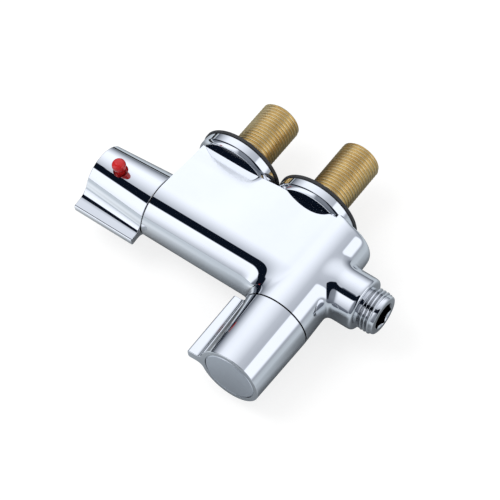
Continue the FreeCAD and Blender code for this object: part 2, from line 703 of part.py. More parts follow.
def draw_handle_section(sketch, radius):
    """Circle with one fin: concave fillets, parallel flanks and a softened tip towards +X."""
    out = value(radius)
    half = value("fin_thickness / 2")
    bend = value("fin_fillet")
    tip = value("fin_reach")
    soft = value("fin_edge")
    up = half + bend
    centre = Vector(math.sqrt((out + bend) ** 2 - up ** 2), up, 0)
    lean = math.atan2(centre.y, centre.x)
    normal = Vector(0, 0, 1)

    def arc(middle, size, start, end):
        return Part.ArcOfCircle(Part.Circle(middle, normal, size), start, end)

    quarter = math.pi / 2
    below = Vector(centre.x, -centre.y, 0)
    pieces = [
        arc(Vector(), out, lean, 2 * math.pi - lean),
        arc(below, bend, quarter, math.pi - lean),
        Part.LineSegment(Vector(centre.x, -half, 0), Vector(tip - soft, -half, 0)),
        arc(Vector(tip - soft, soft - half, 0), soft, 3 * quarter, 4 * quarter),
        Part.LineSegment(Vector(tip, soft - half, 0), Vector(tip, half - soft, 0)),
        arc(Vector(tip - soft, half - soft, 0), soft, 0, quarter),
        Part.LineSegment(Vector(tip - soft, half, 0), Vector(centre.x, half, 0)),
        arc(centre, bend, math.pi + lean, 3 * quarter),
    ]
    for piece in pieces:
        sketch.addGeometry(piece, False)
    joins = ((0, 2, 1, 2), (1, 1, 2, 1), (2, 2, 3, 1), (3, 2, 4, 1),
             (4, 2, 5, 1), (5, 2, 6, 1), (6, 2, 7, 2), (7, 1, 0, 1))
    for join in joins:
        sketch.addConstraint(Sketcher.Constraint("Tangent", *join))
    sketch.addConstraint(Sketcher.Constraint("Coincident", 0, 3, -1, 1))
    pin_number(sketch, "Radius", (0,), radius)
    pin_number(sketch, "Radius", (1,), "fin_fillet")
    sketch.addConstraint(Sketcher.Constraint("Equal", 1, 7))
    pin_number(sketch, "Radius", (3,), "fin_edge")
    sketch.addConstraint(Sketcher.Constraint("Equal", 3, 5))
    sketch.addConstraint(Sketcher.Constraint("Horizontal", 2))
    sketch.addConstraint(Sketcher.Constraint("Horizontal", 6))
    sketch.addConstraint(Sketcher.Constraint("Vertical", 4))
    pin_number(sketch, "DistanceY", (-1, 1, 2, 1), "-fin_thickness / 2")
    pin_number(sketch, "DistanceY", (-1, 1, 6, 1), "fin_thickness / 2")
    pin_number(sketch, "DistanceX", (-1, 1, 4, 1), "fin_reach")


def make_handle(name, length, seam, end, rotation, place):
    """Tapered finned handle about its own Z, open at the body, with a socket boss and a capped end."""
    body = new_body(f"{name}_handle", rotation=rotation, **place)
    near = new_sketch(body, "XY_Plane")
    draw_handle_section(near, seam)
    far = new_sketch(body, "XY_Plane", ("0", "0", length))
    draw_handle_section(far, end)
    loft = body.newObject("PartDesign::AdditiveLoft", f"{name}_grip")
    loft.Profile = near
    loft.Sections = [far]
    loft.Ruled = True
    body.Tip = loft
    inside = f"{length} - cap_thickness - end_wall"
    turned(body, "Z", [
        ("0", "0"), ("0", f"{seam} - handle_wall"), (inside, f"{end} - handle_wall"), (inside, "boss_radius"),
        ("boss_start", "boss_radius"), ("boss_start", "0")], cut=True)
    socket = new_sketch(body, "XY_Plane", ("0", "0", "boss_start"))
    draw_regular(socket, 4, "drive_square + 2 * running_gap")
    pulled(body, socket, f"{length} - spindle_setback - boss_start + fit_gap", cut=True, reverse=True)
    floor = f"{length} - cap_thickness"
    head = "screw_head + fit_gap"
    turned(body, "Z", [
        (f"{length} - spindle_setback", "0"), (f"{length} - spindle_setback", "screw_radius + fit_gap"),
        (f"{floor} - screw_head_height - 0.3", "screw_radius + fit_gap"), (f"{floor} - screw_head_height - 0.3", head),
        (floor, head), (floor, f"{end} - cap_rim + cap_gap"), (length, f"{end} - cap_rim + cap_gap"),
        (length, "0")], cut=True)

    cap = new_body(f"{name}_cap", rotation=rotation, **place)
    turned(cap, "Z", [
        (floor, "0"), (floor, f"{end} - cap_rim"), (f"{length} - 0.4", f"{end} - cap_rim"),
        (length, f"{end} - cap_rim - 0.4"), (length, "0")])

    screw = new_body(f"{name}_screw", rotation=rotation, **place)
    top = f"{floor} - 0.2"
    turned(screw, "Z", [
        (f"{top} - screw_head_height - screw_length", "0"), (f"{top} - screw_head_height - screw_length", "screw_radius - 0.02"),
        (f"{top} - screw_head_height", "screw_radius - 0.02"), (f"{top} - screw_head_height", "screw_head"),
        (top, "screw_head"), (top, "0")])
    hexagon = new_sketch(screw, "XY_Plane", ("0", "0", f"{top} - 1.6"))
    draw_regular(hexagon, 6, "screw_socket")
    pulled(screw, hexagon, "2.0", cut=True, reverse=True)
    return body


def facing(fin, outward):
    """Rotation that turns +X to the fin direction and +Z to the handle's outer end."""
    return FreeCAD.Rotation(fin, outward.cross(fin), outward, "ZXY")


def make_temperature_handle():
    """Left handle with its fin towards the user, the safety stop button on top and its stop ring."""
    tilt = math.radians(value("temperature_tilt"))
    outward = Vector(-1, 0, 0)
    fin = Vector(0, -math.cos(tilt), -math.sin(tilt))
    way = outward.cross(fin)
    body = make_handle("temperature", "temperature_length", "temperature_seam", "temperature_end",
                       facing(fin, outward), {"x": "-body_left - seam_gap"})
    hole = new_sketch(body, "XZ_Plane", ("0", "0", "-plate_level"))
    draw_circle(hole, "0", "button_place", "button_radius + 0.25")
    pulled(body, hole, "temperature_seam", cut=True)

    # button: round head on a neck, a plate that keeps it in, and a tongue that meets the stop
    turn = FreeCAD.Rotation(Vector(1, 0, 0), way.cross(Vector(1, 0, 0)), way, "ZXY")
    x = "-body_left - seam_gap - button_place"
    button = new_body("stop_button", x=x, rotation=turn)
    top = "plate_level + plate_thickness"
    turned(button, "Z", [
        ("plate_level", "0"), ("plate_level", "plate_radius"), (top, "plate_radius"), (top, "button_neck"),
        ("button_top - button_height", "button_neck"), ("button_top - button_height / 2", "button_radius"),
        ("button_top", "button_radius"), ("button_top", "0")])
    doc.recompute()
    limit = value("button_top")
    rim = [f"Edge{index}" for index, edge in enumerate(button.Tip.Shape.Edges, start=1)
           if edge.BoundBox.ZMin > limit - 0.01]
    add_fillet(button, button.Tip, rim, "button_round", "button_round")
    tongue = new_sketch(button, "XZ_Plane")
    reach = f"button_place + {nose_end} + body_left + seam_gap - tongue_gap"
    draw_polygon(tongue, [("0", "plate_level"), (reach, "plate_level"), (reach, top), ("0", top)])
    pulled(button, tongue, "tongue_width", both=True)
    level = "(boss_radius + running_gap)"
    spring("stop_button_spring", "plate_level - boss_radius - 2 * running_gap", "2.0", "button_wire", 4,
           rotation=turn, x=x, y=f"{bar_line} - {level} * sin(temperature_tilt)",
           z=f"{level} * cos(temperature_tilt)")

    # ring on the cartridge nose: one lug that only the raised tongue meets, one that always holds it
    stop = new_body("stop_ring")
    face = "-body_left - nut_height"
    turned(stop, "X", [
        (nose_end, "nose_radius + running_gap"), (nose_end, "stop_ring_radius"), (face, "stop_ring_radius"),
        (face, "nose_radius + running_gap")])
    lugs = new_sketch(stop, "YZ_Plane", ("0", "0", f"{face} - 1"))
    near = "tongue_width / 2 + running_gap"
    far = f"{near} + stop_lug_width"
    for bottom, upper in (("plate_level + 0.2", "stop_lug_radius"), ("-stop_lug_radius", "-nose_radius - 0.3")):
        draw_polygon(lugs, [(near, bottom), (far, bottom), (far, upper), (near, upper)])
    pulled(stop, lugs, f"{face} - 1 - ({nose_end}) + stop_lug_reach", reverse=True)


def make_flow_side():
    """Front handle with the quarter-turn valve it drives."""
    tilt = math.radians(value("flow_tilt"))
    outward = Vector(0, -1, 0)
    fin = Vector(-math.cos(tilt), 0, -math.sin(tilt))
    make_handle("flow", "flow_length", "flow_seam", "flow_end", facing(fin, outward),
                {"x": "flow_offset", "y": f"{bar_line} - flow_reach - seam_gap"})
    place = {"x": "flow_offset"}
    face = "-flow_reach"
    chamber = f"{valve_floor} - disc_chamber_depth"
    bore = "journal_radius + running_gap"

    bonnet = new_body("valve_bonnet", **place)
    outer = "valve_chamber - fit_gap"
    groove = f"{face} + seal_setback"
    top = f"{face} - hex_height - bonnet_height"
    turned(bonnet, "Y", [
        (top, bore), (top, "bonnet_radius"), (face, "bonnet_radius"), (face, outer), (groove, outer),
        (groove, f"{outer} - groove_depth"), (f"{groove} + groove_width", f"{outer} - groove_depth"),
        (f"{groove} + groove_width", outer), (f"{groove} + groove_width + 1.5", outer),
        (f"{groove} + groove_width + 1.5", "barrel_radius"), (f"{valve_floor} - 2", "barrel_radius"),
        (f"{valve_floor} - 2", "disc_chamber"), (chamber, "disc_chamber"), (chamber, bore)])
    hexagon = new_sketch(bonnet, "XZ_Plane", ("0", "0", "flow_reach"))
    draw_regular(hexagon, 6, "hex_flats")
    draw_circle(hexagon, "0", "0", "bonnet_radius - 1")
    pulled(bonnet, hexagon, "hex_height")
    slot = [(f"{chamber} + 0.6", "-3"), (f"{chamber} + 4.4", "-3"), (f"{chamber} + 4.4", "3"), (f"{chamber} + 0.6", "3")]
    for role in ("YZ_Plane", "XY_Plane"):
        slots = new_sketch(bonnet, role)
        draw_polygon(slots, slot if role == "YZ_Plane" else [(up, along) for along, up in slot])
        pulled(bonnet, slots, "valve_chamber * 2", cut=True, both=True)
    o_ring("bonnet_seal", "Y", f"{groove} + groove_width / 2", f"{outer} - groove_depth / 2 + fit_gap / 2",
           "groove_depth / 2", **place)

    # from the seat outwards: rubber ring, fixed disc, moving disc, driver on the spindle
    seat = f"{valve_floor} - disc_seal_thickness"
    ring("disc_seal", "Y", seat, "disc_seal_thickness", "seat_radius", "disc_chamber - fit_gap", **place)
    lower = f"{seat} - disc_thickness"
    upper = f"{lower} - disc_thickness"
    turn = FreeCAD.Rotation(Vector(0, -1, 0), value("flow_tilt"))
    for name, start in (("fixed_disc", lower), ("moving_disc", upper)):
        disc = new_body(name, rotation=turn, **place)
        turned(disc, "Y", [(start, "0"), (start, "disc_chamber - fit_gap"),
                           (f"{start} + disc_thickness", "disc_chamber - fit_gap"),
                           (f"{start} + disc_thickness", "0")])
        cut_ports(disc, f"{start} + disc_thickness", "disc_thickness", name == "moving_disc")
    spindle = new_body("flow_spindle", rotation=turn, **place)
    tip = f"{face} - seam_gap - flow_length + spindle_setback"
    driver = f"{upper} - driver_thickness"
    square_end = f"{top} - 0.6"
    turned(spindle, "Y", [
        (square_end, "0"), (square_end, "journal_radius"), (f"{chamber} + running_gap", "journal_radius"),
        (f"{chamber} + running_gap", "journal_radius + 2"), (f"{chamber} + 1.4", "journal_radius + 2"),
        (f"{chamber} + 1.4", "journal_radius"), (driver, "journal_radius"), (driver, "disc_chamber - fit_gap"),
        (upper, "disc_chamber - fit_gap"), (upper, "0")])
    square = new_sketch(spindle, "XZ_Plane", ("0", "0", f"-({square_end})"))
    draw_regular(square, 4, "drive_square")
    pulled(spindle, square, f"{square_end} - ({tip})")
    turned(spindle, "Y", [
        (tip, "0"), (tip, "screw_radius"), (f"{tip} + screw_hole", "screw_radius"),
        (f"{tip} + screw_hole", "0")], cut=True)
    cut_ports(spindle, upper, "driver_thickness", True)
    spindle_seal("flow", spindle, "Y", f"{face} + 1.0", **place)


def cut_ports(body, face, depth, across):
    """Two opposite ports through a valve disc, beside each other or one above the other."""
    ports = new_sketch(body, "XZ_Plane", ("0", "0", f"-({face}) - 0.1"))
    for side in ("-disc_port_place", "disc_port_place"):
        if across:
            draw_circle(ports, "0", side, "disc_port")
        else:
            draw_circle(ports, side, "0", "disc_port")
    pulled(body, ports, f"{depth} + 0.2", cut=True, reverse=True)


def make_outlet():
    """Threaded nipple for the hose, screwed in with a hexagon key, and its seal."""
    place = {"x": "flow_offset + outlet_neck_reach", "y": f"{bar_line} + outlet_offset"}
    nipple = new_body("outlet_nipple", **place)
    tip = "outlet_length"
    groove = "-nipple_depth + 1.2"
    turned(nipple, "X", [
        ("-nipple_depth", "nipple_bore"), ("-nipple_depth", "nipple_spigot"), (groove, "nipple_spigot"),
        (groove, "nipple_spigot - groove_depth"), (f"{groove} + groove_width", "nipple_spigot - groove_depth"),
        (f"{groove} + groove_width", "nipple_spigot"), ("0", "nipple_spigot"), ("0", "nipple_relief"),
        ("nipple_relief_width", "nipple_relief"), ("nipple_relief_width", "thread_radius"),
        (f"{tip} - thread_chamfer", "thread_radius"), (tip, "thread_radius - thread_chamfer"), (tip, "nipple_bore")])
    socket = new_sketch(nipple, "YZ_Plane", ("0", "0", tip))
    draw_regular(socket, 6, "socket_flats")
    pulled(nipple, socket, "socket_depth", cut=True)
    threaded(nipple, "X", "nipple_relief_width", f"{tip} - thread_chamfer")
    o_ring("outlet_seal", "X", f"{groove} + groove_width / 2",
           "nipple_spigot - groove_depth / 2 + fit_gap / 2", "groove_depth / 2", **place)


def make_all():
    make_mixer_body()
    make_supply("hot", "-inlet_spacing / 2", "hot_reach")
    make_supply("cold", "inlet_spacing / 2", "cold_reach")
    make_cartridge()
    make_temperature_handle()
    make_flow_side()
    make_outlet()


def write_parts():
    """Check every object and every solid, then write one STEP file per piece."""
    doc.recompute()
    for item in doc.Objects:
        if "Invalid" in item.State or "Error" in item.State:
            raise RuntimeError(f"{item.Label} failed: {item.State}")
    for body in bodies:
        if body.Shape.isNull() or not body.Shape.isValid() or not body.Shape.Solids:
            raise RuntimeError(f"{body.Label} has no valid solid")
    os.makedirs("parts", exist_ok=True)
    for body in bodies:
        body.Shape.exportStep(f"parts/{body.Label}.step")
        print(f"{body.Label}: {body.Shape.Volume:.1f} mm3")


make_all()
write_parts()
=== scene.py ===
import json
import math
from functools import partial
import bpy
import numpy as np
from mathutils import Matrix, Vector

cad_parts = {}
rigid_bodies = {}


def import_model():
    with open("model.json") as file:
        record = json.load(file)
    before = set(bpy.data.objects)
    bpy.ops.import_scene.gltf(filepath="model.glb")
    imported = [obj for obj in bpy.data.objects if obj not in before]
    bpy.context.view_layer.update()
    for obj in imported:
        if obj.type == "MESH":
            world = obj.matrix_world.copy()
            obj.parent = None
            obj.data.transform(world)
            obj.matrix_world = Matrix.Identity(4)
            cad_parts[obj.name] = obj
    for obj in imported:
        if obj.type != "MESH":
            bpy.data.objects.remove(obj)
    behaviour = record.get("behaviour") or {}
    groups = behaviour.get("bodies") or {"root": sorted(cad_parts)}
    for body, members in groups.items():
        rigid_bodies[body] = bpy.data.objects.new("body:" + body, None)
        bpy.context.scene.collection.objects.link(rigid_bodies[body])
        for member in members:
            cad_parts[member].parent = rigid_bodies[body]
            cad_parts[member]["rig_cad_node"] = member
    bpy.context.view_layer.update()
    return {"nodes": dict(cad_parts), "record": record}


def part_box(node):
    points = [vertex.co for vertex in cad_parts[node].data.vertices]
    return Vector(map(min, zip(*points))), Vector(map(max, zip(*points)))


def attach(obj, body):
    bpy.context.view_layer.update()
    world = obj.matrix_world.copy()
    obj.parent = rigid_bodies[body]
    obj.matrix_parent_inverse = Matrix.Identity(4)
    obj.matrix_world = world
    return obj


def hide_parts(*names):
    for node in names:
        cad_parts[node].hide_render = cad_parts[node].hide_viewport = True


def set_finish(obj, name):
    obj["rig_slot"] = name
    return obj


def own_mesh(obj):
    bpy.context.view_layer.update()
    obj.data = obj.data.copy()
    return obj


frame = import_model()
for spare in ("Cube", "Light", "Camera"):        # Blender's own start scene, where there is one
    if spare in bpy.data.objects:
        bpy.data.objects.remove(bpy.data.objects[spare], do_unlink=True)
nodes = frame["nodes"]
mm = 0.001
over = 1.0        # mm that a cutter stands out past the surface it cuts
inlets = {"hot": -22.0, "cold": 22.0}        # the two supplies along X, in mm
fine = {"merge": 2e-6, "cut": 1e-7, "level": 1e-6}        # metres within which points are one, cut or level
clear = {"length": 1e-9, "blend": 1e-6, "normal": 1e-12}        # keeps divisions clear of zero
print("frame loaded:", len(nodes), "nodes")


# selecting and finishing

def clearSelection():
    if bpy.context.object and bpy.context.object.mode == "EDIT":
        bpy.ops.object.mode_set(mode="OBJECT")
    bpy.ops.object.select_all(action="DESELECT")


def pick(piece):
    clearSelection()
    piece.select_set(True)
    bpy.context.view_layer.objects.active = piece


def newest(name):
    piece = bpy.context.object
    piece.name = name
    piece.data.name = name
    return piece


def openEdit(piece):
    pick(piece)
    bpy.ops.object.mode_set(mode="EDIT")
    bpy.ops.mesh.select_mode(type="VERT")


def closeEdit():
    bpy.ops.object.mode_set(mode="OBJECT")


def selectAll():
    bpy.ops.mesh.select_all(action="SELECT")


def selectWhere(piece, test, kind="VERT"):
    # leaves edit mode to set the flags, because they are only read on entering it
    bpy.ops.mesh.select_mode(type=kind)
    bpy.ops.mesh.select_all(action="DESELECT")
    bpy.ops.object.mode_set(mode="OBJECT")
    points = piece.data.vertices
    if kind == "VERT":
        for point in points:
            point.select = test(point.co)
    else:
        for edge in piece.data.edges:
            edge.select = test([points[index].co for index in edge.vertices])
    bpy.ops.object.mode_set(mode="EDIT")


def mergePoints(distance=fine["merge"]):
    selectAll()
    bpy.ops.mesh.remove_doubles(threshold=distance)


def faceOutwards():
    selectAll()
    bpy.ops.mesh.normals_make_consistent(inside=False)


def trimAt(place, normal):
    # what lies on the normal's side of the plane goes, and the cut is filled
    selectAll()
    bpy.ops.mesh.bisect(plane_co=place, plane_no=normal, clear_outer=True, use_fill=True,
                        threshold=fine["cut"])


def applyModifier(piece, kind, **values):
    pick(piece)
    modifier = piece.modifiers.new(kind.title(), kind)
    for key, value in values.items():
        setattr(modifier, key, value)
    bpy.ops.object.modifier_apply(modifier=modifier.name)


def joinPieces(first, others):
    clearSelection()
    for piece in (*others, first):
        piece.select_set(True)
    bpy.context.view_layer.objects.active = first
    bpy.ops.object.join()
    return first


def settlePlace(piece):
    pick(piece)
    bpy.ops.object.transform_apply(location=True, rotation=True, scale=True)
    return piece


def cutAway(piece, cutter, operation="DIFFERENCE"):
    applyModifier(piece, "BOOLEAN", object=cutter, operation=operation, solver="MANIFOLD")
    bpy.data.objects.remove(cutter, do_unlink=True)


def smoothShade(piece, degrees=32):
    pick(piece)
    bpy.ops.object.shade_smooth_by_angle(angle=math.radians(degrees))
    # large faces keep their own normals, so the roundings alone carry the turn
    applyModifier(piece, "WEIGHTED_NORMAL", keep_sharp=True, weight=80)


def block(name, size, middle):
    # plain box, its size and the place of its middle in mm
    bpy.ops.mesh.primitive_cube_add(size=1)
    piece = newest(name)
    piece.scale = [length * mm for length in size]
    piece.location = [level * mm for level in middle]
    return settlePlace(piece)


def turnedPiece(name, profile, segments=128, closed=False):
    # lathe work about local Z: a circle, then ring after ring pulled out and scaled; profile in mm
    height, radius = profile[0]
    bpy.ops.mesh.primitive_circle_add(vertices=segments, radius=radius * mm, location=(0, 0, height * mm))
    piece = settlePlace(newest(name))
    openEdit(piece)
    selectAll()
    if not closed:
        bpy.ops.mesh.edge_face_add()
        bpy.ops.mesh.select_mode(type="EDGE")
        selectAll()
    for level, across in profile[1:]:
        bpy.ops.mesh.extrude_edges_move(TRANSFORM_OT_translate={"value": (0, 0, (level - height) * mm)})
        scale = across / radius
        bpy.ops.transform.resize(value=(scale, scale, 1), center_override=(0, 0, level * mm))
        height, radius = level, across
    if not closed:
        bpy.ops.mesh.edge_face_add()
    mergePoints()
    faceOutwards()
    closeEdit()
    return piece


def layAlong(piece, outward, across, place):
    # turns local Z to outward and local X to across, then moves the piece to its place in mm
    outward, across = Vector(outward).normalized(), Vector(across).normalized()
    turn = Matrix((across, outward.cross(across), outward)).transposed().to_4x4()
    piece.matrix_world = Matrix.Translation(Vector(place) * mm) @ turn
    return settlePlace(piece)


def tube(name, radius, start, end, axis, place, segments=96):
    # plain cylinder between two stations along X or Y, in mm
    piece = turnedPiece(name, [(start, radius), (end, radius)], segments)
    outward, across = ((1, 0, 0), (0, 1, 0)) if axis == "X" else ((0, 1, 0), (1, 0, 0))
    return layAlong(piece, outward, across, place)


# the sizes of every piece are in mm, in the solids' own frame

# casting: bar, column and outlet neck in one blended skin
casting = {
    "barLine": -41.4, "barRadius": 15.75, "leftEnd": -38.8, "flankHalf": 11.1,
    "flankRise": ((2.9, -16.0, 10.0), (1.6, 20.0, 40.8)),        # each rise with its start and end
    "columnX": 40.8, "seamY": -60.8, "seamRadius": 16.75, "backY": -8.0, "columnBack": -6.0,
    "backRadius": 15.75, "neckLine": -31.1, "neckRadius": 13.2, "neckEnd": 69.6,
    # how far the corners melt into each other, and where that fades
    "cornerBlend": 10.0, "cornerPower": 0.55, "cornerFade": -9.0, "leastCorner": 0.8, "leastFade": -4.0,
    "neckFront": (3.0, 12.0), "neckBack": (2.0, 11.0), "neckPower": 0.25, "neckFade": 14.0,
    "neckTurn": (-4.0, 4.0), "columnRound": 6.0, "neckRound": 3.0, "backTurn": (-6.0, 6.0), "elsewhere": 1e3,
    # how the skin is laid
    "spare": 3.0, "voxel": 0.5, "passes": 6, "longestStep": 0.6, "leastSlope": 0.2,
    "onSkin": 0.02, "agreement": 0.9,
    # seats of the flanges, then bores: radius, start and end
    "seatSize": (70.0, 10.0, 60.0), "seatMiddle": -12.0, "seatRoom": 0.4,
    "cartridgeBore": (13.0, -45.0, -29.8), "barBore": (11.5, -31.0, 30.2), "passage": (5.2, 29.2),
    "passageDrop": 4.2, "valveBore": (10.2, -66.0, -36.4), "valveWay": (6.0, -37.0, -24.4),
    "outletWay": (6.0, 60.4), "outletBore": (8.1, 60.0, 72.0), "inletBore": (9.0, -20.8, -3.0),
    "inletWay": (4.5, -20.4),
}


def fade(start, end, where):
    share = np.clip((where - start) / (end - start), 0, 1)
    return share * share * (3 - 2 * share)


def meltUnion(first, second, width):
    width = np.maximum(width, clear["blend"])
    near = np.clip(width - np.abs(first - second), 0, None) / width
    return np.minimum(first, second) - near ** 3 * width / 6


def meltTrim(first, second, width):
    return -meltUnion(-first, -second, width)


def castingSkin(points):
    # distance to the finished outside, negative inside; points in mm
    along, back, up = points[:, 0], points[:, 1], points[:, 2]
    # the flanks rise to the height of the column as they near it
    half = casting["flankHalf"]
    for rise, start, end in casting["flankRise"]:
        half = half + rise * fade(start, end, along)
    depth = casting["backY"] - casting["barLine"]
    lean = np.arctan2(depth, half) - np.arccos(casting["barRadius"] / np.hypot(depth, half))
    front = back - casting["barLine"]
    away = np.hypot(front, up) + clear["length"]
    side = np.abs(up)
    onFlank = front * np.cos(lean) - side * np.sin(lean) > 0
    bar = np.where(onFlank, front * np.sin(lean) + side * np.cos(lean), away) - casting["barRadius"]
    barUp = np.where(onFlank, np.cos(lean) * np.sign(up), up / away)
    # the column narrows a little towards the back
    share = (back - casting["seamY"]) / (casting["backY"] - casting["seamY"])
    offAxis = along - casting["columnX"]
    reach = np.hypot(offAxis, up) + clear["length"]
    column = reach - casting["seamRadius"] - share * (casting["backRadius"] - casting["seamRadius"])
    # the blend is wide where two surfaces cross and runs out where they agree
    agree = np.clip(barUp * up / reach, -1, 1)
    corner = casting["cornerBlend"] * np.power(np.clip(1 - agree * agree, 0, 1), casting["cornerPower"])
    corner = np.maximum(corner * fade(0, casting["cornerFade"], offAxis),
                        casting["leastCorner"] * fade(0, casting["leastFade"], offAxis)) + clear["blend"]
    skin = meltUnion(np.where(offAxis < 0, bar, casting["elsewhere"]), column, corner)
    offNeck = np.hypot(back - casting["neckLine"], up)
    agree = np.clip(up / (offNeck + clear["length"]) * up / reach, -1, 1)
    behind = fade(*casting["neckTurn"], back - casting["neckLine"])
    (frontSide, frontTop), (backSide, backTop) = casting["neckFront"], casting["neckBack"]
    joint = (frontSide + (frontTop - frontSide) * np.abs(agree)) * (1 - behind)
    joint = joint + (backSide + (backTop - backSide) * np.abs(agree)) * behind
    joint = joint * np.power(np.clip(1 - agree * agree, 0, 1), casting["neckPower"])
    joint = joint * fade(0, casting["neckFade"], offAxis) + clear["blend"]
    neck = np.where(offAxis > 0, offNeck - casting["neckRadius"], casting["elsewhere"])
    skin = meltUnion(skin, neck, joint)
    skin = meltTrim(skin, along - casting["neckEnd"], casting["neckRound"])
    # the back is cut square behind the flanges, later on, and is rounded off round the column
    past = fade(*casting["backTurn"], offAxis)
    return meltTrim(skin, back - casting["columnBack"] - 1 + past, 1 + (casting["columnRound"] - 1) * past)


def skinSlope(points, step=0.01):
    slope = np.zeros_like(points)
    for axis in range(3):
        move = np.zeros(3)
        move[axis] = step
        slope[:, axis] = (castingSkin(points + move) - castingSkin(points - move)) / (2 * step)
    return slope


def readValues(items, key, kind=float, width=1):
    values = np.zeros(len(items) * width, kind)
    items.foreach_get(key, values)
    return values.reshape(-1, width) if width > 1 else values


def settleOnSkin(piece):
    points = readValues(piece.data.vertices, "co", width=3) / mm
    longest = casting["longestStep"]
    for turn in range(casting["passes"]):
        slope = skinSlope(points)
        size = np.maximum((slope ** 2).sum(1), casting["leastSlope"])
        points -= (np.clip(castingSkin(points), -longest, longest) / size)[:, None] * slope
    piece.data.vertices.foreach_set("co", (points * mm).ravel())
    piece.data.update()


def polishSkin(piece):
    # exact outside normals wherever a face lies on the skin, so that reflections run clean
    smoothShade(piece, 30)
    mesh = piece.data
    points = readValues(mesh.vertices, "co", width=3) / mm
    onSkin = np.abs(castingSkin(points)) < casting["onSkin"]
    slope = skinSlope(points)
    slope /= np.linalg.norm(slope, axis=1)[:, None] + clear["normal"]
    corners = readValues(mesh.corner_normals, "vector", width=3)
    pointOf = readValues(mesh.loops, "vertex_index", int)
    faceOf = np.repeat(np.arange(len(mesh.polygons)), readValues(mesh.polygons, "loop_total", int))
    flat = readValues(mesh.polygons, "normal", width=3)[faceOf]
    wanted = slope[pointOf]
    use = onSkin[pointOf] & ((flat * wanted).sum(1) > casting["agreement"])
    corners[use] = wanted[use]
    mesh.normals_split_custom_set(corners.tolist())
    return int(use.sum())


def makeCasting():
    line, chamber, neckLine = (casting[key] for key in ("barLine", "columnX", "neckLine"))
    left, seam, back = (casting[key] for key in ("leftEnd", "seamY", "backY"))
    spare, radius = casting["spare"], casting["barRadius"]
    bar = tube("mixerBody", radius, left - spare, chamber, "X", (0, line, 0))
    depth = back + spare - line
    flank = block("flank", (chamber - left + spare, depth, 2 * radius),
                  ((chamber + left - spare) / 2, line + depth / 2, 0))
    openEdit(flank)
    selectWhere(flank, lambda point: point.y > back * mm)
    bpy.ops.transform.resize(value=(1, 1, casting["flankHalf"] / radius),
                             center_override=(0, (back + spare) * mm, 0))
    closeEdit()
    column = turnedPiece("column", [(seam - spare, casting["seamRadius"]),
                                    (back + over, casting["backRadius"])])
    layAlong(column, (0, 1, 0), (1, 0, 0), (chamber, 0, 0))
    neck = tube("neck", casting["neckRadius"], chamber, casting["neckEnd"], "X", (0, neckLine, 0))
    body = joinPieces(bar, [flank, column, neck])
    applyModifier(body, "REMESH", mode="VOXEL", voxel_size=casting["voxel"] * mm)
    settleOnSkin(body)
    openEdit(body)
    trimAt(Vector((left, 0, 0)) * mm, (-1, 0, 0))
    trimAt(Vector((0, seam, 0)) * mm, (0, -1, 0))
    closeEdit()
    deep = casting["seatSize"][1]
    cutAway(body, block("seat", casting["seatSize"], (casting["seatMiddle"], back + deep / 2, 0)))
    cutAway(body, tube("roundSeat", flange["radius"] + casting["seatRoom"], back, back + deep, "Y",
                       (inlets["cold"], 0, 0), 180))
    cuts = [("X", *casting["cartridgeBore"], (0, line, 0)), ("X", *casting["barBore"], (0, line, 0)),
            ("X", *casting["passage"], chamber, (0, line - casting["passageDrop"], 0)),
            ("Y", *casting["valveBore"], (chamber, 0, 0)), ("Y", *casting["valveWay"], (chamber, 0, 0)),
            ("X", casting["outletWay"][0], chamber, casting["outletWay"][1], (0, neckLine, 0)),
            ("X", *casting["outletBore"], (0, neckLine, 0))]
    for x in inlets.values():
        cuts += [("Y", *casting["inletBore"], (x, 0, 0)),
                 ("Y", casting["inletWay"][0], line, casting["inletWay"][1], (x, 0, 0))]
    for axis, radius, start, end, place in cuts:
        cutAway(body, tube("drill", radius, start, end, axis, place))
    polished = polishSkin(body)
    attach(body, "casting")
    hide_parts("mixer_body")
    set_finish(body, "chrome")
    print("casting:", len(body.data.polygons), "faces,", polished, "polished corners")


# finned handles; both share the section and the inside, and differ in size, hollow bends and place
grip = {
    "finHalf": 2.4, "finReach": 23.2, "finEdge": 1.2, "rimBevel": 0.35, "wall": 2.2, "bossRadius": 6.6,
    "bossStart": 9.0, "socket": 6.1, "setback": 12.5, "capDepth": 1.6, "capGap": 0.25, "capRim": 2.55,
    "endWall": 3.0, "screwHole": 2.0, "screwHead": 3.7, "headDepth": 2.5,
    "barrelSteps": 120, "bendSteps": 10, "edgeSteps": 5, "rimSteps": 3,
    "merge": 2e-5,        # in metres, wider than elsewhere, to tie the ends of the spun outline
}
handles = {
    "temperatureHandle": {
        "length": 33.75, "seam": 15.75, "end": 13.7, "bends": (4.7, 7.6), "outward": (-1, 0, 0),
        "finSide": (0, -1), "finDrop": 9, "place": (-39.35, -41.4, 0)},        # finDrop in degrees
    "flowHandle": {
        "length": 35.75, "seam": 16.75, "end": 15.7, "bends": (4.0, 4.0), "outward": (0, -1, 0),
        "finSide": (-1, 0), "finDrop": 5, "place": (40.8, -61.35, 0)},
}


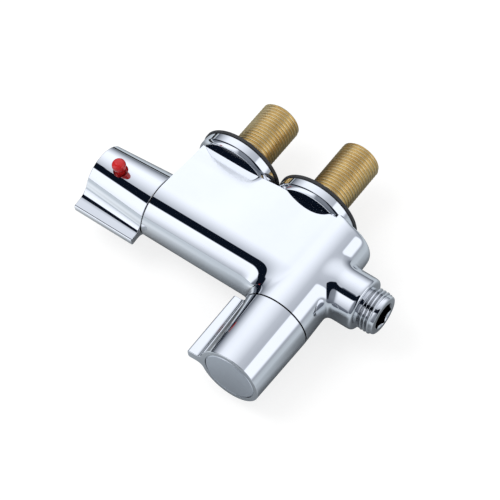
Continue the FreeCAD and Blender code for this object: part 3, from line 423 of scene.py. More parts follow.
def finOutline(name, radius, height, bend):
    # one point spun and pulled round the section: barrel, hollow bend, fin side, fin edge, and back
    half, tip, edge = (grip[key] for key in ("finHalf", "finReach", "finEdge"))
    up = half + bend
    centre = Vector((math.sqrt((radius + bend) ** 2 - up ** 2), up, 0))
    lean = math.atan2(centre.y, centre.x)
    start = Vector((radius * math.cos(lean), radius * math.sin(lean), height)) * mm
    bpy.ops.mesh.primitive_plane_add(size=mm, location=start)
    outline = settlePlace(newest(name))
    openEdit(outline)
    selectAll()
    bpy.ops.mesh.merge(type="CENTER")
    quarter = math.pi / 2

    def spinOn(steps, angle, x, y):
        bpy.ops.mesh.spin(steps=steps, angle=angle, center=(x * mm, y * mm, height * mm), axis=(0, 0, 1))

    def pullOn(x, y):
        bpy.ops.mesh.extrude_vertices_move(TRANSFORM_OT_translate={"value": (x * mm, y * mm, 0)})

    spinOn(grip["barrelSteps"], 2 * lean - 2 * math.pi, 0, 0)
    spinOn(grip["bendSteps"], quarter - lean, centre.x, -centre.y)
    pullOn(tip - edge - centre.x, 0)
    spinOn(grip["edgeSteps"], -quarter, tip - edge, edge - half)
    pullOn(0, 2 * (half - edge))
    spinOn(grip["edgeSteps"], -quarter, tip - edge, half - edge)
    pullOn(centre.x - tip + edge, 0)
    spinOn(grip["bendSteps"], quarter - lean, centre.x, centre.y)
    mergePoints(grip["merge"])
    closeEdit()
    return outline


def drillHandle(handle, length, seam, end):
    # hollow from the seam, a boss with its square socket, and the screw and the disc in the far end
    boss, start, wall = (grip[key] for key in ("bossRadius", "bossStart", "wall"))
    floor = length - grip["capDepth"]
    inside = floor - grip["endWall"]
    seat = floor - grip["headDepth"]
    hole, head = grip["screwHole"], grip["screwHead"]
    corner = grip["socket"] / math.sqrt(2)
    recess = end - grip["capRim"] + grip["capGap"]
    cutters = [
        turnedPiece("hollow", [(-over, seam - wall), (inside, end - wall), (inside, boss), (start, boss)]),
        turnedPiece("socket", [(start - over, corner), (length - grip["setback"], corner)], 4),
        turnedPiece("screwHole", [(start, hole), (seat, hole), (seat, head), (floor + over, head)], 48),
        turnedPiece("recess", [(floor, recess), (length + over, recess)]),
    ]
    for cutter in cutters:
        cutAway(handle, cutter)


def makeHandle(name, body, node):
    size = handles[name]
    length, seam, end = (size[key] for key in ("length", "seam", "end"))
    near, far = size["bends"]
    handle = joinPieces(finOutline(name, seam, 0, near), [finOutline("farOutline", end, length, far)])
    openEdit(handle)
    selectAll()
    bpy.ops.mesh.bridge_edge_loops()
    for level in (0, length):
        selectWhere(handle, lambda point: abs(point.z - level * mm) < fine["level"])
        bpy.ops.mesh.edge_face_add()
    selectWhere(handle, lambda ends: abs(ends[0].z - ends[1].z) < fine["level"], "EDGE")
    bpy.ops.mesh.bevel(offset=grip["rimBevel"] * mm, segments=grip["rimSteps"], profile=0.5, affect="EDGES")
    faceOutwards()
    closeEdit()
    drillHandle(handle, length, seam, end)
    drop = math.radians(size["finDrop"])
    fin = (size["finSide"][0] * math.cos(drop), size["finSide"][1] * math.cos(drop), -math.sin(drop))
    layAlong(handle, size["outward"], fin, size["place"])
    if name == "temperatureHandle":
        hole = [(button[level], button["hole"]) for level in ("plateLevel", "holeEnd")]
        cutAway(handle, layButton(turnedPiece("buttonHole", hole, button["holeSteps"])))
    smoothShade(handle)
    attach(handle, body)
    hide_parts(node)
    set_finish(handle, "chrome")
    print(name, "done:", len(handle.data.polygons), "faces")


# half-inch pipe thread, shared by the supply shanks and the hose end; the shape is one pitch, as shares
thread = {
    "pitch": 1.814, "depth": 1.0, "crest": 10.4775, "steps": 72, "spareTurns": 3,
    "shape": ((0.0, 0.0), (0.08, 0.0), (0.17, 0.12), (0.38, 0.88), (0.45, 1.0), (0.55, 1.0), (0.62, 0.88),
              (0.83, 0.12), (0.92, 0.0), (1.0, 0.0)),
}


def threadedRod(name, start, end, envelope):
    # one pitch drawn point by point, wound up past both ends, then cut square and turned to its envelope
    root, pitch, spare = thread["crest"] - thread["depth"], thread["pitch"], thread["spareTurns"]
    turns = math.ceil((end - start) / pitch) + spare
    first = start - spare / 2 * pitch
    bpy.ops.mesh.primitive_plane_add(size=mm, location=(root * mm, 0, first * mm))
    rod = settlePlace(newest(name))
    openEdit(rod)
    selectAll()
    bpy.ops.mesh.merge(type="CENTER")
    for before, after in zip(thread["shape"], thread["shape"][1:]):
        move = ((after[1] - before[1]) * thread["depth"] * mm, 0, (after[0] - before[0]) * pitch * mm)
        bpy.ops.mesh.extrude_vertices_move(TRANSFORM_OT_translate={"value": move})
    closeEdit()
    applyModifier(rod, "SCREW", axis="Z", angle=2 * math.pi, screw_offset=pitch * mm, iterations=turns,
                  steps=thread["steps"], render_steps=thread["steps"])
    openEdit(rod)
    mergePoints()
    faceOutwards()
    for level, normal in ((start, -1), (end, 1)):
        trimAt((0, 0, level * mm), (0, 0, normal))
    faceOutwards()
    closeEdit()
    cutAway(rod, turnedPiece("envelope", envelope), "INTERSECT")
    return rod


# supply shanks, raw brass
shank = {
    "threadStart": -0.4, "chamfer": 0.9, "reach": {"hot": 32.5, "cold": 35.7},
    "spigot": 8.9, "spigotLength": 14.0, "spigotEdge": 0.5, "back": -6.8, "relief": 10.0775, "reliefEnd": 0.2,
    "core": 5.0, "bore": 6.0, "valveBore": 7.6, "valveSeat": 6.0,
    "mouthIn": 0.4, "mouthOut": 0.2, "mouthWider": 0.6,
}


def makeShank(side, x):
    reach, crest, chamfer = shank["reach"][side], thread["crest"], shank["chamfer"]
    rod = threadedRod("inletShank_" + side, shank["threadStart"], reach, [
        (-over, crest), (reach - chamfer, crest), (reach, crest - chamfer)])
    spigot, back, relief, edge = (shank[key] for key in ("spigot", "back", "relief", "spigotEdge"))
    start = back - shank["spigotLength"]
    cutAway(rod, turnedPiece("stem", [
        (start, spigot - edge), (start + edge, spigot), (back, spigot), (back, relief),
        (shank["reliefEnd"], relief), (shank["reliefEnd"], shank["core"])]), "UNION")
    bore, valve, seat = (shank[key] for key in ("bore", "valveBore", "valveSeat"))
    cutAway(rod, turnedPiece("bore", [
        (start - over, bore), (seat, bore), (seat, valve), (reach - shank["mouthIn"], valve),
        (reach + shank["mouthOut"], valve + shank["mouthWider"])]))
    layAlong(rod, (0, 1, 0), (1, 0, 0), (x, 0, 0))
    smoothShade(rod, 30)
    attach(rod, "casting")
    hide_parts("inlet_shank_" + side)
    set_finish(rod, "raw_brass")
    print("shank", side, "done:", len(rod.data.polygons), "faces")


# chromed flanges behind the casting; each rim bevel with its width, steps and roundness
flange = {
    "front": -8.0, "back": -1.6, "radius": 21.2, "hole": 10.5775, "dome": 0.3, "rim": 0.01, "steps": 180,
    "frontBevel": (2.1, 10, 0.36), "backBevel": (0.45, 4, 0.5),
}


def makeFlange(side, x):
    front, back, radius, hole = (flange[key] for key in ("front", "back", "radius", "hole"))
    shoulder = front + flange["dome"]
    disc = turnedPiece("inletFlange_" + side, [
        (front, hole), (shoulder, radius), (back, radius), (back, hole), (front, hole)],
        flange["steps"], closed=True)
    openEdit(disc)
    for level, (width, steps, roundness) in ((shoulder, flange["frontBevel"]), (back, flange["backBevel"])):
        rim = (radius - flange["rim"]) * mm
        selectWhere(disc, lambda ends: all(end.xy.length > rim and abs(end.z - level * mm) < fine["level"]
                                           for end in ends), "EDGE")
        bpy.ops.mesh.bevel(offset=width * mm, segments=steps, profile=roundness, affect="EDGES")
    closeEdit()
    layAlong(disc, (0, 1, 0), (1, 0, 0), (x, 0, 0))
    smoothShade(disc)
    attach(disc, "casting")
    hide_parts("inlet_flange_" + side)
    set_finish(disc, "chrome")
    print("flange", side, "done:", len(disc.data.polygons), "faces")


# rubber gaskets between the flanges and the wall
gasket = {"radius": 21.73, "lip": 0.2, "steps": 180}


def makeGasket(side, x):
    front, radius, lip, hole = flange["back"], gasket["radius"], gasket["lip"], flange["hole"]
    ring = turnedPiece("inletGasket_" + side, [
        (front, hole), (front, radius - lip), (front + lip, radius), (-lip, radius), (0, radius - lip),
        (0, hole), (front, hole)], gasket["steps"], closed=True)
    layAlong(ring, (0, 1, 0), (1, 0, 0), (x, 0, 0))
    smoothShade(ring)
    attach(ring, "casting")
    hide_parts("inlet_gasket_" + side)
    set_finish(ring, "rubber")
    print("gasket", side, "done:", len(ring.data.polygons), "faces")


# hose nipple with its thread and hexagon socket
nipple = {
    "x": 69.6, "y": -31.1, "turn": 8, "length": 9.7, "spigot": 8.0, "depth": 9.5, "groove": (-8.3, -6.7, 7.0),
    "relief": 9.2, "reliefWidth": 1.2, "rootStart": 0.2, "threadStart": 0.7, "threadEnd": 8.0, "leadIn": 0.9,
    "leadOut": (0.6, 0.3, 0.9), "endRing": 9.75, "endBevel": 0.7, "bevelKnee": (0.4, 0.3),
    "ringStart": 2.6, "ringFull": 2.35, "ringEdge": 0.25,
    "socket": 12.0, "socketDepth": 7.0, "bore": 5.0, "lead": ((-1.0, 5.6), (0.5, 7.3)), "steps": 96,
}


def makeNipple():
    crest, root = thread["crest"], thread["crest"] - thread["depth"]
    length, depth, begin, finish = (nipple[key] for key in ("length", "depth", "reliefWidth", "threadEnd"))
    before, after, drop = nipple["leadOut"]
    rod = threadedRod("outletNipple", nipple["threadStart"], finish, [
        (nipple["rootStart"], root), (begin, root), (begin + nipple["leadIn"], crest),
        (finish - before, crest), (finish + after, crest - drop)])
    kneeBack, kneeIn = nipple["bevelKnee"]
    ring, bevel, spigot, relief = (nipple[key] for key in ("endRing", "endBevel", "spigot", "relief"))
    inner, outer, narrow = nipple["groove"]
    ringStart = length - nipple["ringStart"]
    cutAway(rod, turnedPiece("stem", [
        (-depth, spigot), (inner, spigot), (inner, narrow), (outer, narrow), (outer, spigot), (0, spigot),
        (0, relief), (ringStart, relief), (ringStart, ring - nipple["ringEdge"]),
        (length - nipple["ringFull"], ring), (length - bevel, ring),
        (length - bevel * kneeBack, ring - bevel * kneeIn), (length, ring - bevel)]), "UNION")
    steps, bore, corner = nipple["steps"], nipple["bore"], nipple["socket"] / math.sqrt(3)
    cutAway(rod, turnedPiece("bore", [(-depth - over, bore), (length + over, bore)], steps))
    socket = [(length - nipple["socketDepth"], corner), (length + over, corner)]
    cutAway(rod, turnedPiece("hexagon", socket, 6))
    cutAway(rod, turnedPiece("lead", [(length + level, radius) for level, radius in nipple["lead"]], steps))
    turn = math.radians(nipple["turn"])
    layAlong(rod, (1, 0, 0), (0, math.cos(turn), math.sin(turn)), (nipple["x"], nipple["y"], 0))
    smoothShade(rod, 30)
    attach(rod, "casting")
    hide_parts("outlet_nipple")
    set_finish(rod, "chrome")
    print("nipple done:", len(rod.data.polygons), "faces")


# red stop button: round stem and head over a tongue, and the hole it needs in the handle
button = {
    "x": -60.3, "y": -41.4, "tilt": 9.0, "steps": 64, "tongue": 15.9, "width": 3.0, "plateLevel": 9.7,
    "plateTop": 11.2, "hole": 3.65, "holeEnd": 25.0, "holeSteps": 72,
    "shape": [(9.7, 3.6), (10.0, 3.9), (10.9, 3.9), (11.2, 3.6), (11.25, 2.3), (15.2, 2.05), (16.4, 2.25),
              (17.4, 2.75), (18.4, 3.2), (19.4, 3.4), (20.3, 3.3), (21.0, 2.9), (21.5, 2.25), (21.8, 1.3),
              (21.9, 0.4)],
}


def layButton(piece):
    tilt = math.radians(button["tilt"])
    return layAlong(piece, (0, -math.sin(tilt), math.cos(tilt)), (1, 0, 0), (button["x"], button["y"], 0))


def makeButton():
    knob = turnedPiece("stopButton", button["shape"], button["steps"])
    long, low, high = (button[key] for key in ("tongue", "plateLevel", "plateTop"))
    tongue = block("tongue", (long, button["width"], high - low), (long / 2, 0, (high + low) / 2))
    cutAway(knob, tongue, "UNION")
    layButton(knob)
    smoothShade(knob, 40)
    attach(knob, "button")
    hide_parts("stop_button")
    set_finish(knob, "red")
    print("button done:", len(knob.data.polygons), "faces")


# building materials

def addNode(tree, kind, inputs=None, **settings):
    # a plain value is written into an input, anything else is linked to it
    node = tree.nodes.new(kind)
    for key, value in settings.items():
        setattr(node, key, value)
    for key, what in (inputs or {}).items():
        if isinstance(what, (int, float, tuple)):
            node.inputs[key].default_value = what
        else:
            tree.links.new(what, node.inputs[key])
    return node


def addMath(tree, operation, *values):
    return addNode(tree, "ShaderNodeMath", dict(enumerate(values)), operation=operation).outputs[0]


def addRange(tree, value, low, high, start=0.0, end=1.0, kind="SMOOTHSTEP"):
    inputs = {"Value": value, "From Min": low, "From Max": high, "To Min": start, "To Max": end}
    return addNode(tree, "ShaderNodeMapRange", inputs, interpolation_type=kind).outputs["Result"]


def addRamp(tree, value, stops, kind="LINEAR"):
    # greys along the value; stops are pairs of place and grey
    node = addNode(tree, "ShaderNodeValToRGB", {"Fac": value})
    band = node.color_ramp
    band.interpolation = kind
    band.elements[0].position, band.elements[1].position = stops[0][0], stops[-1][0]
    for element, (place, grey) in zip(band.elements[:2], (stops[0], stops[-1])):
        element.color = (grey, grey, grey, 1)
    for place, grey in stops[1:-1]:
        band.elements.new(place).color = (grey, grey, grey, 1)
    return node.outputs["Color"]


def mixColours(tree, share, first, second):
    node = addNode(tree, "ShaderNodeMix", {"Factor": share}, data_type="RGBA")
    ends = [socket for socket in node.inputs if socket.type == "RGBA"]
    for socket, what in zip(ends, (first, second)):
        if isinstance(what, tuple):
            socket.default_value = (*what, 1)
        else:
            tree.links.new(what, socket)
    return next(out for out in node.outputs if out.type == "RGBA")


def emptyTree(owner):
    owner.use_nodes = True
    owner.node_tree.nodes.clear()
    return owner.node_tree


# haze and hairlines: detail and roughness of each noise, span of the haze, and their shares of the roughness
handling = {"haze": (4.0, 0.55), "hairs": (3.0, 0.6), "hazeSpan": (0.35, 0.7), "hazeShare": 0.5,
            "hairShare": 0.5}


def makeHandlingGroup():
    # broad haze and fine hairlines from wiping, as a colour mask, a roughness and a height
    group = bpy.data.node_groups.new("handlingMarks", "ShaderNodeTree")
    group.interface.new_socket(name="Vector", in_out="INPUT", socket_type="NodeSocketVector")
    for name in ("Haze Scale", "Fine Scale", "Low", "High", "Stretch"):
        group.interface.new_socket(name=name, in_out="INPUT", socket_type="NodeSocketFloat")
    for name in ("Mask", "Roughness", "Height"):
        group.interface.new_socket(name=name, in_out="OUTPUT", socket_type="NodeSocketFloat")
    given = addNode(group, "NodeGroupInput").outputs

    def noise(place, scale, look):
        inputs = {"Vector": place, "Scale": scale, "Detail": look[0], "Roughness": look[1]}
        return addNode(group, "ShaderNodeTexNoise", inputs, noise_dimensions="3D").outputs["Fac"]

    haze = noise(given["Vector"], given["Haze Scale"], handling["haze"])
    stretch = addNode(group, "ShaderNodeCombineXYZ", {"X": 1.0, "Y": 1.0, "Z": given["Stretch"]})
    pulled = addNode(group, "ShaderNodeVectorMath", {0: given["Vector"], 1: stretch.outputs[0]},
                     operation="MULTIPLY")
    hairs = noise(pulled.outputs["Vector"], given["Fine Scale"], handling["hairs"])
    mask = addRange(group, haze, *handling["hazeSpan"], kind="LINEAR")
    part = addMath(group, "MULTIPLY_ADD", hairs, handling["hairShare"],
                   addMath(group, "MULTIPLY", mask, handling["hazeShare"]))
    rough = addRange(group, part, 0.0, 1.0, given["Low"], given["High"], "LINEAR")
    addNode(group, "NodeGroupOutput", {"Mask": mask, "Roughness": rough, "Height": hairs})
    return group


finishes = {
    # rough and scales are pairs: least and most roughness, haze and fine scale; bump is in metres;
    # stretch, where it is given, draws the hairlines out along Z
    "chrome": {"base": (0.93, 0.938, 0.955), "tint": (0.9, 0.91, 0.932), "metallic": 1.0,
               "rough": (0.015, 0.05), "scales": (45, 700), "bump": 0.0},
    "satin": {"base": (0.93, 0.955, 1.0), "tint": (0.86, 0.885, 0.93), "metallic": 1.0, "rough": (0.3, 0.42),
              "scales": (80, 2600), "bump": 4e-6},
    "red": {"base": (0.6, 0.022, 0.024), "tint": (0.5, 0.014, 0.016), "metallic": 0.0, "rough": (0.1, 0.2),
            "scales": (160, 1800), "bump": 5e-7},
    "raw_brass": {"base": (0.95, 0.76, 0.43), "tint": (0.84, 0.64, 0.33), "metallic": 1.0,
                  "rough": (0.3, 0.42), "scales": (140, 900), "bump": 2e-6},
    "copper": {"base": (0.78, 0.42, 0.27), "tint": (0.6, 0.29, 0.18), "metallic": 1.0, "rough": (0.25, 0.42),
               "scales": (120, 1200), "bump": 6e-6},
    "rubber": {"base": (0.022, 0.022, 0.024), "tint": (0.04, 0.04, 0.043), "metallic": 0.0,
               "rough": (0.42, 0.62), "scales": (200, 3200), "bump": 1.5e-5},
    "steel": {"base": (0.7, 0.71, 0.72), "tint": (0.6, 0.61, 0.63), "metallic": 1.0, "rough": (0.18, 0.32),
              "scales": (120, 1500), "bump": 5e-6, "stretch": 4.0},
    "white_plastic": {"base": (0.85, 0.85, 0.82), "tint": (0.78, 0.78, 0.75), "metallic": 0.0,
                      "rough": (0.38, 0.52), "scales": (150, 2400), "bump": 8e-6},
    "blue_plastic": {"base": (0.14, 0.28, 0.58), "tint": (0.1, 0.22, 0.5), "metallic": 0.0,
                     "rough": (0.35, 0.5), "scales": (150, 2400), "bump": 8e-6},
    "ceramic": {"base": (0.9, 0.89, 0.85), "tint": (0.84, 0.82, 0.77), "metallic": 0.0, "rough": (0.08, 0.2),
                "scales": (180, 2800), "bump": 2e-6},
}
# softer plating on the casting before the hot flange: axis, where it begins and where it is full, in mm
softPlating = {"softer": 0.16, "limits": (
    (0, -3.0, -8.0), (1, -20.0, -16.0), (1, -10.5, -12.5), (2, 6.0, 8.0))}
# painted shade down in the grooves of the hose thread: radii, ends along X in mm, strength and colour
paintedGrooveShade = {"radii": (9.3, 10.3), "start": (70.3, 70.5), "end": (76.6, 76.9), "share": 0.8,
               "grey": (0.16, 0.17, 0.19)}


def soften(tree, spot, roughness):
    total = None
    for axis, begin, full in softPlating["limits"]:
        ends = (begin, full, 0.0, 1.0) if begin < full else (full, begin, 1.0, 0.0)
        part = addRange(tree, spot.outputs[axis], ends[0] * mm, ends[1] * mm, *ends[2:])
        total = part if total is None else addMath(tree, "MULTIPLY", total, part)
    return addMath(tree, "MULTIPLY_ADD", total, softPlating["softer"], roughness)


def paintGrooveShade(tree, spot, colour):
    # painted shade: the chrome darkens towards the roots of the hose thread, between its ends along X
    aside = addMath(tree, "SUBTRACT", spot.outputs[1], nipple["y"] * mm)
    offAxis = addNode(tree, "ShaderNodeCombineXYZ", {1: aside, 2: spot.outputs[2]})
    away = addNode(tree, "ShaderNodeVectorMath", {0: offAxis.outputs[0]}, operation="LENGTH").outputs["Value"]
    root, crest = (radius * mm for radius in paintedGrooveShade["radii"])
    part = addRange(tree, away, root, crest, paintedGrooveShade["share"], 0.0)
    for key, start, end in (("start", 0.0, 1.0), ("end", 1.0, 0.0)):
        low, high = (level * mm for level in paintedGrooveShade[key])
        inside = addRange(tree, spot.outputs[0], low, high, start, end, "LINEAR")
        part = addMath(tree, "MULTIPLY", part, inside)
    return mixColours(tree, part, colour, paintedGrooveShade["grey"])


def makeFinish(name, group):
    recipe = finishes[name]
    material = bpy.data.materials.new(name)
    tree = emptyTree(material)
    place = addNode(tree, "ShaderNodeTexCoord").outputs["Object"]
    marks = addNode(tree, "ShaderNodeGroup", node_tree=group)
    tree.links.new(place, marks.inputs["Vector"])
    values = (*recipe["scales"], *recipe["rough"], recipe.get("stretch", 1.0))
    for key, value in zip(("Haze Scale", "Fine Scale", "Low", "High", "Stretch"), values):
        marks.inputs[key].default_value = value
    colour = mixColours(tree, marks.outputs["Mask"], recipe["base"], recipe["tint"])
    roughness = marks.outputs["Roughness"]
    if name == "chrome":
        spot = addNode(tree, "ShaderNodeSeparateXYZ", {0: place})
        # painted shade in the grooves of the hose thread, and softer plating before the hot flange
        colour, roughness = paintGrooveShade(tree, spot, colour), soften(tree, spot, roughness)
    shader = addNode(tree, "ShaderNodeBsdfPrincipled", {"Base Color": colour, "Metallic": recipe["metallic"],
                                                        "Roughness": roughness})
    if recipe["bump"]:
        bump = addNode(tree, "ShaderNodeBump", {"Strength": 1.0, "Distance": recipe["bump"],
                                                "Height": marks.outputs["Height"]})
        tree.links.new(bump.outputs["Normal"], shader.inputs["Normal"])
    addNode(tree, "ShaderNodeOutputMaterial", {"Surface": shader.outputs[0]})
    return material


def dressAll():
    group = makeHandlingGroup()
    made = {name: makeFinish(name, group) for name in finishes}
    slotOf = {row["node"]: row["material_slot"] for row in frame["record"]["subparts"]}
    for piece in bpy.data.objects:
        if piece.type != "MESH" or piece.get("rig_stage"):
            continue
        name = slotOf[piece["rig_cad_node"]] if "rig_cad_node" in piece else piece.get("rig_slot")
        if name is None:
            continue
        piece.data.materials.clear()
        piece.data.materials.append(made[name])
    print("finishes:", len(made))


# soft sky with two bright panels and a dark frame; angles in degrees, brightness as it is seen
sky = {
    "plain": 0.75, "gain": 1.1, "cool": (-0.03, -0.008, 0.03), "displayPower": 2.2,
    "aim": (-0.426, 0.609, 0.669),
    "glow": [(0.0, 0.69), (0.5, 0.71), (0.68, 0.75), (0.76, 0.81), (0.85, 0.88), (0.93, 0.94), (1.0, 1.0)],
    "horizon": [(-8, 0.5), (0, 0.58), (7, 0.68), (15, 0.82), (24, 0.92), (34, 1.0)],
    "horizonRight": (45, 75), "horizonRightLevel": 0.95,
    # elevations along the azimuth: where the dark frame begins and where it ends
    "frameBegins": [(150, 1), (180, 2), (192, 5), (200, 14), (207, 24), (214, 27), (220, 31), (225, 38),
                    (232, 43), (240, 48), (250, 53), (263, 57), (275, 59), (290, 57), (300, 48), (305, 28),
                    (311, 12), (332, 14), (339, 38), (344, 52), (350, 62), (354, 66)],
    "frameEnds": [(150, 1), (164, 3), (172, 20), (180, 31), (190, 35), (198, 45), (205, 57), (211, 67),
                  (217, 70), (223, 68), (230, 67.5), (240, 75), (255, 82), (270, 84), (300, 84), (320, 80),
                  (333, 77), (343, 73), (350, 67), (354, 66)],
    "frameEdge": 2.2, "frameGrey": 0.1, "frameStops": 354,
    # brightness inside the frame along the azimuth
    "front": [(150, 0.35), (195, 0.4), (208, 0.46), (214, 0.6), (219, 0.92), (225, 0.99), (242, 1.0),
              (250, 0.97), (256, 0.8), (261, 0.52), (275, 0.5), (300, 0.46), (340, 0.52)],
    "frontStarts": (155, 170), "frontEnds": (338, 346), "frontLowTurn": (237, 252),
    "frontLow": [(-8, 0.72), (0, 0.76), (8, 0.85), (16, 0.94), (26, 1.0)],
    # rounded square panel on the right: middle and half its size, across and up
    "panelAcross": (0.3, 0.66), "panelUp": (0.6, 0.44), "panelEdge": (0.35, 2.2), "panelPower": 4.0,
    "panelLevel": 0.985, "panelFrom": 0.01,
}


def makeWorld():
    world = bpy.data.worlds.new("studioSky")
    bpy.context.scene.world = world
    tree = emptyTree(world)
    sums, step, along = (partial(tool, tree) for tool in (addMath, addRange, addRamp))

    def blend(first, second, share):
        values = {"Factor": share, "A": first, "B": second}
        return addNode(tree, "ShaderNodeMix", values, data_type="FLOAT").outputs[0]

    # the turn is counted from the back, so that its join lies where nothing changes
    def turned(angle):
        return (angle - 90) / 360

    def lifted(stops):
        return [(0.5 + angle / 180, value) for angle, value in stops]

    way = addNode(tree, "ShaderNodeTexCoord").outputs["Generated"]
    x, y, z = addNode(tree, "ShaderNodeSeparateXYZ", {0: way}).outputs
    upward = sums("DIVIDE", sums("ARCSINE", z), math.pi / 2)
    level = sums("MULTIPLY_ADD", upward, 0.5, 0.5)
    turn = sums("ADD", sums("DIVIDE", sums("ARCTAN2", x, sums("MULTIPLY", y, -1.0)), 2 * math.pi), 0.5)
    aim = addNode(tree, "ShaderNodeVectorMath", {0: way, 1: sky["aim"]}, operation="DOT_PRODUCT")
    low = along(level, lifted(sky["horizon"]))
    fromRight = sums("SUBTRACT", 1.0, step(turn, *[turned(angle + 360) for angle in sky["horizonRight"]]))
    fromRight = sums("MULTIPLY", fromRight, sums("GREATER_THAN", x, 0.0))
    low = blend(low, sums("MAXIMUM", low, sky["horizonRightLevel"]), fromRight)
    room = sums("MULTIPLY", along(aim.outputs["Value"], sky["glow"]), low)
    # bright panel on the right
    side = sums("MAXIMUM", x, 0.001)        # keeps the division clear of zero
    shares = []
    for part, (middle, half) in ((y, sky["panelAcross"]), (z, sky["panelUp"])):
        share = sums("DIVIDE", sums("SUBTRACT", sums("DIVIDE", part, side), middle), half)
        shares.append(sums("POWER", sums("ABSOLUTE", share), sky["panelPower"]))
    panel = sums("SUBTRACT", 1.0, step(sums("ADD", *shares), *sky["panelEdge"]))
    panel = sums("MULTIPLY", panel, sums("GREATER_THAN", x, sky["panelFrom"]))
    room = blend(room, sky["panelLevel"], panel)
    # front: a bright panel in a dark frame
    edge = sky["frameEdge"] / 90
    past = []
    for key in ("frameBegins", "frameEnds"):
        line = along(turn, [(turned(angle), height / 90) for angle, height in sky[key]], "B_SPLINE")
        past.append(step(upward, sums("SUBTRACT", line, edge), sums("ADD", line, edge)))
    ahead = sums("SUBTRACT", 1.0, step(turn, *[turned(angle) for angle in sky["frontEnds"]]))
    ahead = sums("MULTIPLY", ahead, step(turn, *[turned(angle) for angle in sky["frontStarts"]]))
    dim = along(level, lifted(sky["frontLow"]))
    dim = blend(1.0, dim, step(turn, *[turned(angle) for angle in sky["frontLowTurn"]]))
    front = sums("MULTIPLY", along(turn, [(turned(angle), value) for angle, value in sky["front"]]), dim)
    inside = blend(blend(room, front, ahead), sky["frameGrey"], past[0])
    framed = blend(inside, room, past[1])
    room = blend(room, framed, sums("LESS_THAN", turn, turned(sky["frameStops"])))
    # greys are a little blue, white stays white
    hue = {name: sums("POWER", sums("MAXIMUM", sums("ADD", room, offset), 0.0), sky["displayPower"])
           for name, offset in zip(("Red", "Green", "Blue"), sky["cool"])}
    # what each kind of ray meets
    path = addNode(tree, "ShaderNodeLightPath").outputs
    mirrored = sums("MAXIMUM", path["Is Glossy Ray"], path["Is Transmission Ray"])
    strength = sums("MAXIMUM", blend(sky["plain"], sky["gain"], mirrored), path["Is Camera Ray"])
    colour = mixColours(tree, mirrored, (1, 1, 1), addNode(tree, "ShaderNodeCombineColor", hue).outputs[0])
    background = addNode(tree, "ShaderNodeBackground", {"Color": colour, "Strength": strength})
    addNode(tree, "ShaderNodeOutputWorld", {"Surface": background.outputs[0]})
    print("sky made")


# pale floor; what chrome mirrors of it has a painted shadow close to the object and a painted pool of light
# towards the front panel
ground = {
    "level": -22.1, "size": 6.0, "lit": 0.3, "litMirrored": 0.6, "glowSeen": 0.76, "glowMirrored": 0.01,
    "cool": (0.18, 0.09, 0.0),
    # painted shadow: distance from the object in mm and brightness of the mirrored floor there
    "paintedShadow": [(0, 0.4), (6, 0.42), (14, 0.48), (28, 0.7), (60, 1.0)],
    # the object's footprint as rounded bars, round which the painted shadow falls: ends along X, ends along Y
    # and radius, in mm
    "footprint": ((-73, 41, -42, -20, 14), (41, 41, -82, -15, 14), (41, 76, -31, -31, 10)),
    # painted pool of light on the floor, seen only in the chrome: middle and size in metres, and its glow
    "paintedPoolMiddle": (-0.1, -0.1), "paintedPoolSize": (0.055, 0.06), "paintedPoolGlow": 0.3,        # in metres
}


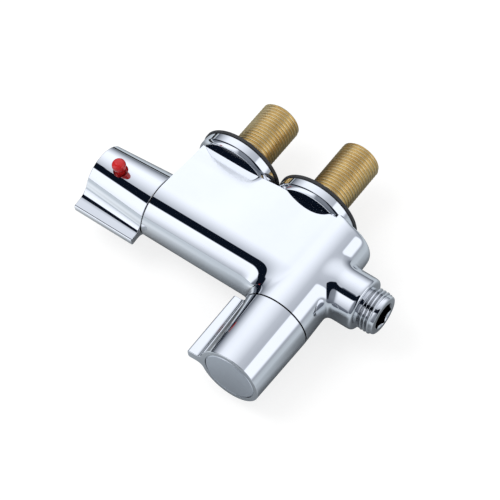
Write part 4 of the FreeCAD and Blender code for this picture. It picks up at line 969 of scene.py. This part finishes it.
def makeFloor():
    bpy.ops.mesh.primitive_plane_add(size=ground["size"], location=(0, 0, ground["level"] * mm))
    floor = settlePlace(newest("floor"))
    floor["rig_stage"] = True
    material = bpy.data.materials.new("paleFloor")
    tree = emptyTree(material)
    sums = partial(addMath, tree)
    path = addNode(tree, "ShaderNodeLightPath").outputs
    mirrored = sums("MAXIMUM", path["Is Glossy Ray"], path["Is Transmission Ray"])
    place = addNode(tree, "ShaderNodeTexCoord").outputs["Object"]
    spot = addNode(tree, "ShaderNodeSeparateXYZ", {0: place}).outputs

    def squared(value):
        return sums("MULTIPLY", value, value)

    def reach(x0, x1, y0, y1, radius):
        # distance in mm outside a rounded bar
        offX = sums("SUBTRACT", spot[0], sums("MINIMUM", sums("MAXIMUM", spot[0], x0 * mm), x1 * mm))
        offY = sums("SUBTRACT", spot[1], sums("MINIMUM", sums("MAXIMUM", spot[1], y0 * mm), y1 * mm))
        away = sums("SQRT", sums("ADD", squared(offX), squared(offY)))
        return sums("SUBTRACT", sums("DIVIDE", away, mm), radius)

    first, *others = ground["footprint"]
    near = reach(*first)
    for bar in others:
        near = sums("MINIMUM", near, reach(*bar))
    # painted shadow: the mirrored floor darkens towards the object's footprint
    farthest = ground["paintedShadow"][-1][0]
    stops = [(away / farthest, grey) for away, grey in ground["paintedShadow"]]
    paintedShade = addRamp(tree, sums("DIVIDE", near, farthest), stops)
    # painted pool of light, added as glow for mirrored rays only
    offPaintedPool = []
    for along, middle, size in zip(spot, ground["paintedPoolMiddle"], ground["paintedPoolSize"]):
        offPaintedPool.append(sums("POWER", sums("DIVIDE", sums("SUBTRACT", along, middle), size), 2.0))
    paintedPool = sums("EXPONENT", sums("MULTIPLY", sums("ADD", *offPaintedPool), -1.0))
    paintedPool = sums("MULTIPLY", paintedPool, ground["paintedPoolGlow"])
    grey = sums("SUBTRACT", sums("MULTIPLY", paintedShade, ground["litMirrored"]), ground["lit"])
    grey = sums("MULTIPLY_ADD", mirrored, grey, ground["lit"])
    hue = {name: sums("MULTIPLY", grey, sums("MULTIPLY_ADD", mirrored, -share, 1.0))
           for name, share in zip(("Red", "Green", "Blue"), ground["cool"])}
    colour = addNode(tree, "ShaderNodeCombineColor", hue).outputs[0]
    lit = addNode(tree, "ShaderNodeBsdfDiffuse", {"Color": colour})
    seen = sums("MULTIPLY", path["Is Camera Ray"], ground["glowSeen"])
    strength = sums("MULTIPLY_ADD", mirrored, sums("ADD", paintedPool, ground["glowMirrored"]), seen)
    glow = addNode(tree, "ShaderNodeEmission", {"Color": (1, 1, 1, 1), "Strength": strength})
    both = addNode(tree, "ShaderNodeAddShader", {0: lit.outputs[0], 1: glow.outputs[0]})
    addNode(tree, "ShaderNodeOutputMaterial", {"Surface": both.outputs[0]})
    floor.data.materials.append(material)
    print("floor laid")


# dark card bent round the back and the left, seen only in the chrome; radius and middle in metres
cardLook = {"radius": 0.125, "middle": -0.035, "heights": (-5.0, 9.0), "turn": (84, 200), "steps": 120,
            "grey": 0.03, "roughness": 0.9}


def makeCard():
    bpy.ops.mesh.primitive_cylinder_add(vertices=cardLook["steps"], radius=cardLook["radius"], depth=1,
                                        end_fill_type="NOTHING")
    card = newest("darkCard")
    low, high = (level * mm for level in cardLook["heights"])
    card.scale = (1, 1, high - low)
    card.location = (0, cardLook["middle"], (high + low) / 2)
    settlePlace(card)
    openEdit(card)
    start, end = cardLook["turn"]

    def offSide(point):
        angle = math.degrees(math.atan2(point.y - cardLook["middle"], point.x)) % 360
        return not start < angle < end
    selectWhere(card, offSide)
    bpy.ops.mesh.delete(type="VERT")
    closeEdit()
    card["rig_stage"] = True
    card.visible_camera = card.visible_diffuse = card.visible_shadow = False
    material = bpy.data.materials.new("darkCard")
    material.use_nodes = True
    shader = material.node_tree.nodes["Principled BSDF"]
    shader.inputs["Base Color"].default_value = (cardLook["grey"],) * 3 + (1,)
    shader.inputs["Roughness"].default_value = cardLook["roughness"]
    card.data.materials.append(material)
    print("dark card placed")


# soft lamp above and to the left, in metres; "behind" is where the back of its disc faces
lampLook = {"place": (-0.55, -0.25, 0.95), "behind": (-0.55, -0.21, 0.95), "size": 0.7, "energy": 5.0}


def makeLamp():
    bpy.ops.object.light_add(type="AREA", location=lampLook["place"])
    lamp = bpy.context.object
    lamp.name = "softLamp"
    lamp.data.shape = "DISK"
    lamp.data.size = lampLook["size"]
    lamp.data.energy = lampLook["energy"]
    lamp.rotation_mode = "QUATERNION"
    lamp.rotation_quaternion = Vector(lampLook["behind"]).to_track_quat("Z", "Y")
    lamp.visible_glossy = False
    print("lamp hung")


# camera at the photograph's angle; its place and its sensor in mm, its range in metres
cameraPlace = {
    "eye": (324.5, -461.13, 818.69), "right": (0.81116, 0.58475, -0.00966),
    "down": (0.48711, -0.68467, -0.54217), "ahead": (-0.32364, 0.43508, -0.84022),
    "lens": 151.86, "sensor": 36.0, "nearest": 0.05, "farthest": 20,
}


def makeCamera():
    bpy.ops.object.camera_add()
    camera = bpy.context.object
    camera.name = "camera"
    right, down, ahead = (Vector(cameraPlace[key]).normalized() for key in ("right", "down", "ahead"))
    turn = Matrix((right, -down, -ahead)).transposed().to_4x4()
    camera.matrix_world = Matrix.Translation(Vector(cameraPlace["eye"]) * mm) @ turn
    camera.data.lens = cameraPlace["lens"]
    camera.data.sensor_width = cameraPlace["sensor"]
    camera.data.clip_start = cameraPlace["nearest"]
    camera.data.clip_end = cameraPlace["farthest"]
    bpy.context.scene.camera = camera
    print("camera placed")


# springs of the valves and the stop button, each given a mesh of its own: joint, fixed end, direction, length
# and travel, in mm;
# a length of None is read from the solid
springs = {
    "check_spring_hot": ("check_poppet_hot_slide", (-22.0, 7.65, 0), (0, 1, 0), None, 3.0),
    "check_spring_cold": ("check_poppet_cold_slide", (22.0, 7.65, 0), (0, 1, 0), None, 3.0),
    "stop_button_spring": ("stop_button_press", (-60.3, -42.44, 6.568), (0, -0.156434, 0.987688), 3.0, 1.8),
}


def seatSprings():
    for node, (joint, fixedEnd, outward, length, travel) in springs.items():
        if length is None:
            low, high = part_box(node)
            length = (high[1] - low[1]) / mm
        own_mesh(nodes[node])
    print("springs follow:", len(springs))


makeCamera()
makeWorld()
makeFloor()
makeCard()
makeLamp()
makeCasting()
makeHandle("temperatureHandle", "temperature_dial", "temperature_handle")
makeHandle("flowHandle", "flow_dial", "flow_handle")
for side, x in inlets.items():
    makeShank(side, x)
    makeFlange(side, x)
    makeGasket(side, x)
makeNipple()
makeButton()
dressAll()
seatSprings()
bpy.context.scene.view_settings.view_transform = "Standard"
clearSelection()
